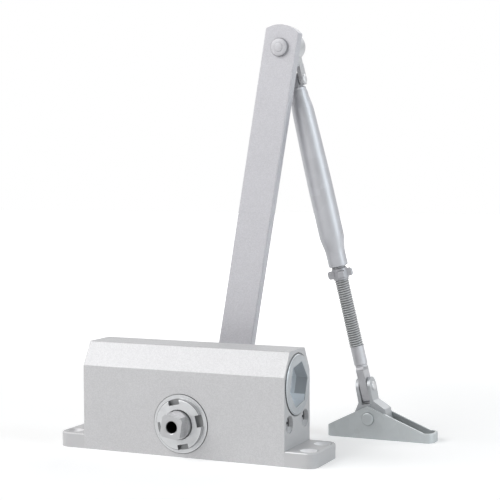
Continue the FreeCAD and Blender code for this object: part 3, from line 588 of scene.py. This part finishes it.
# A dark finish for the core that paints shade between the thread's turns
ROOT_SHADE_ZINC = ZincPlate("thread_root", (0.20, 0.205, 0.21), 0.50, (), 1.5 * MM)
NUT_ZINC = ZincPlate("nut_zinc", (0.43, 0.43, 0.45), 0.42, (), 2 * MM)
CLEVIS_ZINC = ZincPlate("clevis_zinc", (0.50, 0.515, 0.53), 0.44, (), 3 * MM)


class FinishRack:
    """Builds each finish's material once and hands it out."""

    _made: ClassVar[dict[str, bpy.types.Material]] = {}

    @classmethod
    def material(cls, finish: Finish) -> bpy.types.Material:
        """The material of a finish.

        Args:
            finish: The finish.

        Returns:
            The one material for it.
        """
        if finish.name not in cls._made:
            cls._made[finish.name] = finish.material()
        return cls._made[finish.name]


# Modelling by operator

class Workpiece:
    """A mesh object that is shaped by operators in edit mode.

    MERGE is how near vertices are merged, in metres, SLIVER the width below which a face is dissolved, FLAT
    the angle between faces that are one, and THREAD_STEPS how many facets a thread has in a turn.
    """

    MERGE: ClassVar[float] = 1e-6
    SLIVER: ClassVar[float] = 0.01 * MM
    FLAT: ClassVar[float] = math.radians(0.6)
    THREAD_STEPS: ClassVar[int] = 32

    def __init__(self, thing: bpy.types.Object) -> None:
        """Take an object over and make it the active one.

        Args:
            thing: The mesh object.
        """
        self.thing = thing
        self.hold()

    @staticmethod
    def clear() -> None:
        """Deselect everything."""
        for thing in bpy.context.view_layer.objects:
            thing.select_set(False)

    @staticmethod
    def edit(on: bool = True) -> None:
        """Enter edit mode, or leave it."""
        bpy.ops.object.mode_set(mode="EDIT" if on else "OBJECT")

    def hold(self) -> None:
        """Make this the only selected and the active object."""
        self.clear()
        self.thing.select_set(True)
        bpy.context.view_layer.objects.active = self.thing

    @classmethod
    def from_node(cls, frame: dict, node: str, name: str) -> "Workpiece":
        """Copy a CAD node's mesh and merge its loose triangles into clean faces.

        Args:
            node: The CAD node's name.
            name: The new piece's name.

        Returns:
            The workpiece.
        """
        mesh = frame["nodes"][node].data.copy()
        mesh.materials.clear()
        thing = bpy.data.objects.new(name, mesh)
        bpy.context.scene.collection.objects.link(thing)
        piece = cls(thing)
        cls.edit()
        bpy.ops.mesh.select_all(action="SELECT")
        bpy.ops.mesh.remove_doubles(threshold=cls.MERGE)
        bpy.ops.mesh.customdata_custom_splitnormals_clear()
        bpy.ops.mesh.dissolve_limited(angle_limit=cls.FLAT)
        cls.edit(False)
        return piece

    @classmethod
    def turned(
        cls, name: str, outline: Outline, start: Point, axis: Vector, sides: int = 56,
    ) -> "Workpiece":
        """Turn a solid round piece: a disc drawn out along its axis, ring by ring.

        Args:
            name: The piece's name.
            outline: Radius and distance along the axis, in millimetres, from end to end.
            start: Where distance 0 lies, in metres.
            axis: The axis.
            sides: How many facets go round.

        Returns:
            The workpiece, with its faces outwards.
        """
        cls.clear()
        last_radius, last_along = outline[0]
        bpy.ops.mesh.primitive_circle_add(
            vertices=sides, radius=last_radius * MM, fill_type="NGON", location=(0, 0, last_along * MM),
        )
        piece = cls(bpy.context.object)
        piece.thing.name = name
        piece.settle()
        cls.edit()
        bpy.ops.mesh.select_all(action="SELECT")
        for radius, along in outline[1:]:
            step = (0, 0, (along - last_along) * MM)
            bpy.ops.mesh.extrude_region_move(TRANSFORM_OT_translate={"value": step})
            ratio = radius / last_radius
            bpy.ops.transform.resize(value=(ratio, ratio, 1), center_override=(0, 0, along * MM))
            last_radius, last_along = radius, along
        piece.face_out()
        cls.edit(False)
        piece.aim(start, axis)
        return piece

    @classmethod
    def screwed(
        cls, name: str, section: Outline, pitch: float, length: float, start: Point, axis: Vector,
    ) -> "Workpiece":
        """Wind a thread: one pitch of its section, screwed round and up its axis by the Screw modifier.

        Args:
            name: The piece's name.
            section: Radius and height of each point over one pitch, in millimetres, both ends at one radius.
            pitch: The thread's pitch in millimetres.
            length: How much thread is wound, in millimetres.
            start: Where its lower end lies, in metres.
            axis: The axis.

        Returns:
            The workpiece, closed at both ends.
        """
        cls.clear()
        radius, height = section[0]
        bpy.ops.mesh.primitive_plane_add(size=MM, location=(0, 0, 0))
        piece = cls(bpy.context.object)
        piece.thing.name = name
        cls.edit()
        bpy.ops.mesh.select_all(action="SELECT")
        bpy.ops.mesh.merge(type="CENTER")
        bpy.ops.transform.translate(value=(radius * MM, 0, height * MM))
        for next_radius, next_height in section[1:]:
            step = ((next_radius - radius) * MM, 0, (next_height - height) * MM)
            bpy.ops.mesh.extrude_region_move(TRANSFORM_OT_translate={"value": step})
            radius, height = next_radius, next_height
        cls.edit(False)
        piece.modify(
            "SCREW", axis="Z", angle=2 * math.pi, screw_offset=pitch * MM, iterations=round(length / pitch),
            steps=cls.THREAD_STEPS, render_steps=cls.THREAD_STEPS, use_merge_vertices=True,
            merge_threshold=cls.MERGE, use_smooth_shade=True,
        )
        cls.edit()
        bpy.ops.mesh.select_all(action="SELECT")
        bpy.ops.mesh.remove_doubles(threshold=cls.MERGE)
        bpy.ops.mesh.fill_holes(sides=0)
        piece.face_out()
        cls.edit(False)
        piece.aim(start, axis)
        return piece

    def face_out(self) -> None:
        """Turn all faces of a closed shell outwards, while in edit mode."""
        bpy.ops.mesh.select_all(action="SELECT")
        bpy.ops.mesh.normals_make_consistent(inside=False)
        if bmesh.from_edit_mesh(self.thing.data).calc_volume(signed=True) < 0:
            bpy.ops.mesh.flip_normals()

    def aim(self, start: Point, axis: Vector) -> None:
        """Stand the piece, drawn along +Z from the origin, on a point along an axis.

        Args:
            start: Where the origin goes, in metres.
            axis: Where +Z goes.
        """
        turn = Vector((0, 0, 1)).rotation_difference(axis.normalized())
        self.thing.matrix_world = Matrix.Translation(Vector(start)) @ turn.to_matrix().to_4x4()
        self.settle()

    def settle(self) -> None:
        """Put the object's place and turn into its mesh, so that it sits at the origin."""
        self.hold()
        bpy.context.view_layer.update()
        bpy.ops.object.transform_apply(location=True, rotation=True, scale=True)

    def spin(self, axis: str, centre: Point, angle: float) -> "Workpiece":
        """Turn the piece round a line.

        Args:
            axis: The line's axis, X, Y or Z.
            centre: A point on it, in metres.
            angle: The turn in degrees, right-handed.

        Returns:
            The workpiece.
        """
        self.thing.matrix_world = (
            Matrix.Translation(Vector(centre))
            @ Matrix.Rotation(math.radians(angle), 4, axis)
            @ Matrix.Translation(-Vector(centre))
        )
        self.settle()
        return self

    def keep_side(self, point: Vector, normal: Vector) -> "Workpiece":
        """Cut the piece by a plane and keep the side that the normal points to.

        Args:
            point: A point of the plane.
            normal: Its normal.

        Returns:
            The workpiece, closed at the cut.
        """
        self.hold()
        self.edit()
        bpy.ops.mesh.select_all(action="SELECT")
        bpy.ops.mesh.bisect(plane_co=point, plane_no=normal, use_fill=True, clear_inner=True)
        self.edit(False)
        return self

    def modify(self, kind: str, **settings: Any) -> None:
        """Add a modifier and apply it.

        Args:
            kind: The modifier's type.
            **settings: Its settings.
        """
        self.hold()
        made = self.thing.modifiers.new(kind.lower(), kind)
        for name, value in settings.items():
            setattr(made, name, value)
        bpy.ops.object.modifier_apply(modifier=made.name)

    def soften(self, width: float, angle: float = 30.0, segments: int = 2) -> "Workpiece":
        """Round the sharp edges.

        Args:
            width: The rounding's width in millimetres.
            angle: The least angle between faces that counts as sharp, in degrees.
            segments: Facets across the rounding.

        Returns:
            The workpiece.
        """
        limit = math.radians(angle)
        self.modify(
            "BEVEL", width=width * MM, segments=segments, limit_method="ANGLE", angle_limit=limit,
        )
        return self

    def drop_slivers(self) -> "Workpiece":
        """Dissolve the faces and edges that are next to nothing wide.

        Returns:
            The workpiece.
        """
        self.hold()
        self.edit()
        bpy.ops.mesh.select_all(action="SELECT")
        bpy.ops.mesh.dissolve_degenerate(threshold=self.SLIVER)
        self.edit(False)
        return self

    def smooth(self, angle: float = 32.0) -> "Workpiece":
        """Shade smooth except across edges sharper than the angle.

        Args:
            angle: The angle in degrees.

        Returns:
            The workpiece.
        """
        self.hold()
        bpy.ops.object.shade_smooth_by_angle(angle=math.radians(angle))
        self.modify("WEIGHTED_NORMAL", weight=80, keep_sharp=True)
        return self

    def deliver(
        self, body: Body, slot: Slot, *nodes: str, finish: Optional[Finish] = None,
    ) -> bpy.types.Object:
        """Dress the piece, tie it to its body and hide the CAD nodes it stands for.

        Args:
            body: The body it rides on.
            slot: The record's material slot.
            *nodes: The CAD nodes it replaces.
            finish: A finish of its own, where the slot's isn't right.

        Returns:
            The finished object.
        """
        self.thing.data.materials.clear()
        self.thing.data.materials.append(FinishRack.material(finish or FINISHES[slot]))
        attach(self.thing, body.value)
        if nodes:
            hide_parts(*nodes)
        log.info("%s: %d faces on %s", self.thing.name, len(self.thing.data.polygons), body.value)
        return self.thing


# Sub-assemblies

@dataclass
class Assembly(ABC):
    """A group of pieces built round the loaded frame."""

    frame: dict

    @abstractmethod
    def build(self) -> None:
        """Make the group's pieces and dress them."""

    def copied(self, node: str) -> Workpiece:
        """A clean copy of a CAD node, to be worked on."""
        return Workpiece.from_node(self.frame, node, f"{node}_look")

    def softened(self, node: str, body: Body, slot: Slot, width: float) -> None:
        """Replace a CAD node by a copy whose edges are rounded, in millimetres."""
        self.copied(node).soften(width).smooth().deliver(body, slot, node)

    def joint(self, name: str) -> tuple[Vector, Vector]:
        """A joint's point in metres and its unit axis, at rest."""
        found = next(item for item in self.frame["joints"] if item["name"] == name)
        return Vector(found.get("pos_m", (0, 0, 0))), Vector(found["axis"]).normalized()


@dataclass
class BodyCasting(Assembly):
    """The cast body with its end plugs, spindle caps and regulating screws."""

    casting_edge: float = 0.5
    plug_edge: float = 0.4
    plug_turn: float = 5.0
    cap_edge: float = 0.2
    screw_edge: float = 0.15

    def build(self) -> None:
        """Round the edges of the body's outer pieces."""
        self.softened("housing", Body.CASING, Slot.PAINT, self.casting_edge)
        for side in ("right", "left"):
            plug = self.copied(f"end_plug_{side}").spin("X", CYLINDER_LINE, self.plug_turn)
            plug.soften(self.plug_edge).smooth().deliver(Body.CASING, Slot.PLUG, f"end_plug_{side}")
        for side in ("front", "rear"):
            self.softened(f"{side}_cap", Body.CASING, Slot.ZINC, self.cap_edge)
        self.softened("closing_speed_valve", Body.CLOSING_VALVE, Slot.ZINC, self.screw_edge)
        self.softened("latching_speed_valve", Body.LATCHING_VALVE, Slot.ZINC, self.screw_edge)


@dataclass
class Spindle(Assembly):
    """The spindle, and the arm's screw and washer."""

    spindle_edge: float = 0.25
    screw_edge: float = 0.4
    washer_edge: float = 0.2

    def build(self) -> None:
        """Round the edges of the three."""
        self.softened("pinion_spindle", Body.SPINDLE, Slot.SPINDLE, self.spindle_edge)
        self.softened("arm_screw", Body.SPINDLE, Slot.ZINC, self.screw_edge)
        self.softened("arm_washer", Body.SPINDLE, Slot.ZINC, self.washer_edge)


@dataclass
class MainArm(Assembly):
    """The cranked bar and the rivet at its top."""

    bar_edge: float = 0.6
    bar_angle: float = 40.0
    washer_edge: float = 0.15
    head_radius: float = 5.25
    head_height: float = 2.4
    head_face: float = 38.5
    tail_from: float = 59.1
    tail_radius: float = 5.2
    tail_height: float = 1.8
    shank_radius: float = 3.4

    def rivet(self) -> None:
        """Turn the elbow rivet: a spread tail, the shank, and a low head with a raised middle."""
        centre, _ = self.joint("elbow_turn")
        r, h, face = self.head_radius, self.head_height, self.head_face
        end, tail = self.tail_radius, self.tail_from
        top = tail + self.tail_height
        outline = [
            (end - 1.6, top), (end - 0.7, top - 0.3), (end - 0.1, top - 0.9), (end, tail),
            (self.shank_radius, tail), (self.shank_radius, face),
            (r, face), (r, face - 0.7), (r - 0.08, face - 1.15), (r - 0.32, face - 1.5),
            (r - 0.72, face - 1.78), (r - 1.3, face - 1.96), (r - 2.1, face - 2.06),
            (r - 2.65, face - 2.1), (r - 2.8, face - h + 0.1), (r - 3.0, face - h), (r - 4.2, face - h),
        ]
        start = Vector((centre.x, 0, centre.z))
        piece = Workpiece.turned("elbow_rivet_look", outline, start, Vector((0, 1, 0)))
        piece.smooth(35).deliver(Body.SPINDLE, Slot.PAINT, "elbow_rivet", finish=RIVET_PAINT)

    def build(self) -> None:
        """Round the bar's edges and set the rivet."""
        bar = self.copied("main_arm").soften(self.bar_edge, self.bar_angle).smooth()
        bar.deliver(Body.SPINDLE, Slot.PAINT, "main_arm", finish=ARM_PAINT)
        self.softened("elbow_washer", Body.SPINDLE, Slot.ZINC, self.washer_edge)
        self.rivet()


@dataclass
class CrossPin(Assembly):
    """A cross pin with two low domed heads."""

    name: str
    joint_name: str
    body: Body
    radius: float
    reach: float
    head_radius: float = 2.7
    head_height: float = 0.9

    def build(self) -> None:
        """Turn the pin from head to head."""
        centre, axis = self.joint(self.joint_name)
        r, h, end = self.head_radius, self.head_height, self.reach
        head = [
            (r * 0.35, end + h), (r * 0.62, end + h * 0.94), (r * 0.84, end + h * 0.72),
            (r * 0.97, end + h * 0.35), (r, end), (self.radius, end),
        ]
        outline = head + [(radius, -along) for radius, along in reversed(head)]
        piece = Workpiece.turned(f"{self.name}_look", outline, centre, axis, 40)
        piece.smooth(45).deliver(self.body, Slot.ZINC, self.name)


@dataclass
class Elbow(Assembly):
    """The cast link behind the arm's top and its cross pin."""

    casting_edge: float = 0.4
    pin_radius: float = 1.8
    pin_reach: float = 5.3

    def build(self) -> None:
        """Round the casting and set its pin."""
        self.softened("elbow_link", Body.ELBOW, Slot.PAINT, self.casting_edge)
        CrossPin(self.frame, "elbow_pin", "elbow_tilt", Body.ELBOW, self.pin_radius, self.pin_reach).build()


@dataclass
class Forearm(Assembly):
    """The swaged tube with its tongue, the threaded rod and the lock nut.

    Distances run down the forearm from the elbow's pin, but shank_end runs up from the foot's pin.
    """

    tongue_end: float = 6.0
    tongue_edge: float = 0.3
    bore: float = 4.4
    hollow: float = 4.9
    nut_edge: float = 0.6
    thread_top: float = 84.2
    thread_end: float = 158.6
    thread_pitch: float = 1.37
    thread_root: float = 3.55
    thread_crest: float = 4.3
    # How far from root to crest the dark core of painted shade reaches
    shade_core_share: float = 0.3
    shank_lap: float = 1.4
    shank_radius: float = 3.9
    shank_end: float = 13.6
    flat_radius: float = 3.5
    flat_edge: float = 0.3

    def line(self) -> tuple[Vector, Vector]:
        """The elbow pin's place in metres and the direction down the forearm."""
        return self.joint("elbow_tilt")[0], self.joint("nut_turn")[1]

    def tube(self) -> None:
        """Turn the tube: swaged waist, long swell, barrel, neck, and the bore back up inside."""
        outline = [
            (2.4, 3.9), (3.2, 4.0), (3.85, 4.35), (4.35, 4.95), (4.75, 5.8), (4.98, 6.9), (5.1, 8.2),
            (5.15, 9.4), (5.32, 10.8), (5.58, 12.2), (5.84, 13.6), (6.05, 15.0), (6.2, 16.4), (6.32, 19.0),
            (6.5, 26.0), (6.72, 36.0), (6.93, 47.0), (7.1, 57.0), (7.14, 64.0), (7.14, 90.0),
            (7.12, 91.4), (7.0, 92.8), (6.79, 94.2), (6.5, 95.8), (6.2, 97.4), (5.95, 98.8),
            (5.76, 100.0), (5.66, 101.4), (5.63, 103.0), (5.63, 109.0), (5.5, 109.4), (5.22, 109.6),
            (4.8, 109.6), (4.55, 109.5), (self.bore, 109.1), (self.bore, 96.0), (self.hollow, 95.0),
            (self.hollow, 22.0), (2.4, 20.2),
        ]
        piece = Workpiece.turned("forearm_tube_look", outline, *self.line(), 72)
        piece.smooth(28).deliver(Body.FOREARM, Slot.PAINT, "forearm_tube", finish=TUBE_PAINT)

    def tongue(self) -> None:
        """Cut the tongue off a copy of the tube's solid and round it."""
        centre, axis = self.line()
        piece = Workpiece.from_node(self.frame, "forearm_tube", "forearm_tongue")
        piece.keep_side(centre + axis * self.tongue_end * MM, -axis)
        piece.soften(self.tongue_edge).drop_slivers().smooth()
        piece.deliver(Body.FOREARM, Slot.PAINT, finish=TUBE_PAINT)

    def shank(self) -> None:
        """Keep the rod's flat end and turn the plain shank round it."""
        centre, axis = self.line()
        top = self.thread_end - self.shank_lap
        flat = Workpiece.from_node(self.frame, "adjusting_rod", "rod_flat_end")
        flat.keep_side(centre + axis * top * MM, axis)
        flat.soften(self.flat_edge).smooth(36).deliver(Body.ROD, Slot.ROD, "adjusting_rod")
        foot, _ = self.joint("foot_tilt")
        r, end = self.shank_radius, (foot - centre).length / MM - self.shank_end
        outline = [(r - 0.5, top), (r, top + 0.5), (r, end - 0.4), (self.flat_radius, end)]
        sleeve = Workpiece.turned("rod_shank", outline, centre, axis, 48)
        sleeve.smooth(36).deliver(Body.ROD, Slot.ROD)

    def thread(self) -> None:
        """Wind the rod's thread, and lay a dark core between its turns as painted shade."""
        centre, axis = self.line()
        root, crest, pitch = self.thread_root, self.thread_crest, self.thread_pitch
        section = [
            (root, 0.0), (root, 0.12 * pitch), (crest - 0.05, 0.44 * pitch), (crest, 0.50 * pitch),
            (crest, 0.60 * pitch), (crest - 0.05, 0.66 * pitch), (root, 0.98 * pitch), (root, pitch),
        ]
        length = self.thread_end - self.thread_top
        start = centre + axis * self.thread_end * MM
        thread = Workpiece.screwed("rod_thread", section, pitch, length, start, -axis)
        thread.smooth(50).deliver(Body.ROD, Slot.ROD, finish=THREAD_ZINC)
        # The dark core is painted shade in the thread's roots
        dark = root + self.shade_core_share * (crest - root)
        outline = [(dark, self.thread_top + 0.5), (dark, self.thread_end - 0.3)]
        core = Workpiece.turned("rod_thread_root_shade", outline, centre, axis, 32)
        core.smooth(36).deliver(Body.ROD, Slot.ROD, finish=ROOT_SHADE_ZINC)

    def build(self) -> None:
        """Build the forearm from the elbow's pin down to the clevis."""
        self.tube()
        self.tongue()
        nut = self.copied("lock_nut").soften(self.nut_edge).smooth()
        nut.deliver(Body.NUT, Slot.ZINC, "lock_nut", finish=NUT_ZINC)
        self.shank()
        self.thread()


@dataclass
class Spring(Assembly):
    """The return spring, which on the closer closes up as the spindle turns and draws the piston on to it;
    this copy keeps its rest shape.
    """

    stroke: float = 31.154

    def build(self) -> None:
        """Copy the coil, smooth it and give it a mesh of its own."""
        piece = self.copied("return_spring").smooth(50)
        thing = piece.deliver(Body.CASING, Slot.SPRING, "return_spring")
        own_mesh(thing)


@dataclass
class Foot(Assembly):
    """The clevis, its pin, the rivet and the folded bracket."""

    clevis_edge: float = 0.4
    bracket_edge: float = 0.35
    pin_radius: float = 1.9
    pin_reach: float = 4.55
    rivet_radius: float = 2.9
    head_radius: float = 3.7
    head_height: float = 1.1
    wall_face: float = 7.2

    def rivet(self) -> None:
        """Turn the rivet through the bracket's walls."""
        centre, _ = self.joint("foot_turn")
        r, h, end = self.head_radius, self.head_height, self.wall_face
        head = [
            (r * 0.5, end + h), (r * 0.78, end + h * 0.97), (r * 0.92, end + h * 0.82),
            (r, end + h * 0.5), (r, end), (self.rivet_radius, end),
        ]
        outline = head + [(radius, -along) for radius, along in reversed(head)]
        piece = Workpiece.turned("foot_rivet_look", outline, centre, Vector((0, 1, 0)), 48)
        piece.smooth(45).deliver(Body.BRACKET, Slot.BRACKET, "foot_rivet")

    def build(self) -> None:
        """Round the foot's pieces and set its pin and rivet."""
        clevis = self.copied("foot_clevis").soften(self.clevis_edge).smooth()
        clevis.deliver(Body.CLEVIS, Slot.ZINC, "foot_clevis", finish=CLEVIS_ZINC)
        self.softened("foot_bracket", Body.BRACKET, Slot.BRACKET, self.bracket_edge)
        CrossPin(self.frame, "rod_pin", "foot_tilt", Body.CLEVIS, self.pin_radius, self.pin_reach).build()
        self.rivet()


# Surroundings

@dataclass(frozen=True)
class SoftBox:
    """A rectangular lamp, its places and size in metres and its power in watts."""

    name: str
    place: Point
    target: Point
    size: tuple[float, float]
    power: float
    tint: Colour = (1.0, 1.0, 1.0)

    def hang(self) -> None:
        """Put the lamp into the scene."""
        data = bpy.data.lights.new(self.name, "AREA")
        data.color = self.tint
        data.shape = "RECTANGLE"
        data.size, data.size_y = self.size
        data.energy = self.power
        thing = bpy.data.objects.new(self.name, data)
        bpy.context.scene.collection.objects.link(thing)
        away = Vector(self.place) - Vector(self.target)
        thing.rotation_euler = away.to_track_quat("Z", "Y").to_euler()
        thing.location = self.place


# A large key from the upper left, a tall cool box on the right, and a weak light from behind
LAMPS = (
    SoftBox("key", (-1.6, -1.8, 1.8), (0.0, 0.0, 0.06), (3.1, 2.1), 77.0),
    SoftBox("right", (1.45, -0.1, 0.62), (0.03, 0.0, 0.12), (0.65, 1.3), 7.5, (0.86, 0.95, 1.0)),
    SoftBox("back", (0.2, 1.2, 1.0), (0.05, 0.0, 0.1), (1.0, 0.6), 4.0),
)


@dataclass
class Studio:
    """Camera, lamps, floor and backdrop. Angles are in degrees, the lens in millimetres."""

    place: Point = (0.32691, -0.65311, 0.15436)
    yaw: float = 24.19
    pitch: float = 3.326
    roll: float = -0.2055
    lens: float = 95.43
    fill: float = 0.20
    glow_near: float = 0.36
    bright_side: Point = (0.25, 0.60, 0.75)

    def camera(self) -> None:
        """Set the camera where the photograph was taken from."""
        yaw, pitch, roll = (math.radians(angle) for angle in (self.yaw, self.pitch, self.roll))
        ahead = Vector((-math.sin(yaw) * math.cos(pitch), math.cos(yaw) * math.cos(pitch), -math.sin(pitch)))
        level = Vector((math.cos(yaw), math.sin(yaw), 0.0))
        upright = level.cross(ahead)
        right = math.cos(roll) * level + math.sin(roll) * upright
        up = math.cos(roll) * upright - math.sin(roll) * level
        data = bpy.data.cameras.new("camera")
        data.lens = self.lens
        data.sensor_width = 36.0
        data.clip_start = 0.01
        thing = bpy.data.objects.new("camera", data)
        bpy.context.scene.collection.objects.link(thing)
        turn = Matrix((right, up, -ahead)).transposed().to_4x4()
        thing.matrix_world = Matrix.Translation(Vector(self.place)) @ turn
        bpy.context.scene.camera = thing

    def world(self) -> None:
        """White for the camera, pale behind and dark in front for reflections, a weak fill for the rest."""
        world = bpy.data.worlds.new("surroundings")
        bpy.context.scene.world = world
        world.use_nodes = True
        tree = world.node_tree

        def add(kind: str, **settings: Any) -> bpy.types.Node:
            """Add a node to the world's tree.

            Args:
                kind: The node's type name.
                **settings: Its settings.

            Returns:
                The new node.
            """
            made = tree.nodes.new(kind)
            for name, value in settings.items():
                setattr(made, name, value)
            return made

        back = tree.nodes["Background"]
        back.inputs["Color"].default_value = (1.0, 1.0, 1.0, 1.0)
        rays = add("ShaderNodeLightPath")
        way = add("ShaderNodeTexCoord")
        side = add("ShaderNodeVectorMath", operation="DOT_PRODUCT")
        side.inputs[1].default_value = Vector(self.bright_side).normalized()
        tree.links.new(way.outputs["Generated"], side.inputs[0])
        glossy = add("ShaderNodeMapRange", interpolation_type="SMOOTHSTEP")
        for name, value in {"From Min": -0.7, "From Max": 0.6, "To Min": 0.15, "To Max": 0.85}.items():
            glossy.inputs[name].default_value = value
        tree.links.new(side.outputs["Value"], glossy.inputs["Value"])
        shine = add("ShaderNodeMix", data_type="FLOAT")
        shine.inputs[2].default_value = self.fill
        tree.links.new(rays.outputs["Is Glossy Ray"], shine.inputs[0])
        tree.links.new(glossy.outputs[0], shine.inputs[3])
        clear = add("ShaderNodeMath", operation="MAXIMUM")
        tree.links.new(rays.outputs["Is Camera Ray"], clear.inputs[0])
        tree.links.new(rays.outputs["Is Transmission Ray"], clear.inputs[1])
        level = add("ShaderNodeMix", data_type="FLOAT")
        level.inputs[3].default_value = 1.0
        tree.links.new(clear.outputs[0], level.inputs[0])
        tree.links.new(shine.outputs[0], level.inputs[2])
        tree.links.new(level.outputs[0], back.inputs["Strength"])

    def floor(self) -> None:
        """Lay a white floor that keeps the object's shadow and fades into the backdrop."""
        Workpiece.clear()
        bpy.ops.mesh.primitive_plane_add(size=8.0, location=(0.0, 0.0, 0.0))
        ground = bpy.context.object
        ground.name = "floor"
        desk = NodeDesk("white_floor")
        desk.set(Base_Color=(0.82, 0.82, 0.82, 1.0), Roughness=0.9, Specular_IOR_Level=0.05)
        rays = desk.node("ShaderNodeLightPath")
        seen = desk.node("ShaderNodeMath", {"operation": "MAXIMUM"}, {
            0: rays.outputs["Is Camera Ray"], 1: rays.outputs["Is Glossy Ray"]})
        reach = desk.node("ShaderNodeVectorMath", {"operation": "LENGTH"}, {0: desk.place})
        far = desk.node("ShaderNodeMapRange", {"interpolation_type": "SMOOTHSTEP"}, {
            "Value": reach.outputs["Value"], "From Min": 0.25, "From Max": 0.9,
            "To Min": self.glow_near, "To Max": 1.0})
        glow = Level(desk, seen.outputs[0]) * Level(desk, far.outputs[0])
        desk.set(Emission_Color=desk.between(glow, (0.0, 0.0, 0.0), (1.0, 1.0, 1.0)), Emission_Strength=1.0)
        ground.data.materials.append(desk.material)

    def build(self) -> None:
        """Set up the whole studio and the plain view transform."""
        self.camera()
        for lamp in LAMPS:
            lamp.hang()
        self.world()
        self.floor()
        bpy.context.scene.view_settings.view_transform = "Standard"


def dress_nodes(frame: dict) -> None:
    """Give every CAD node the material of its slot.
    """
    slots = {part["node"]: Slot(part["material_slot"]) for part in frame["record"]["subparts"]}
    for name, node in frame["nodes"].items():
        node.data.materials.clear()
        node.data.materials.append(FinishRack.material(FINISHES[slots[name]]))


def main() -> None:
    """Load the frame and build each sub-assembly."""
    logging.basicConfig(level=logging.INFO, format="%(name)s: %(message)s")
    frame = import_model()
    Studio().build()
    dress_nodes(frame)
    for kind in (BodyCasting, Spring, Spindle, MainArm, Elbow, Forearm, Foot):
        kind(frame).build()


if __name__ == "__main__":
    main()
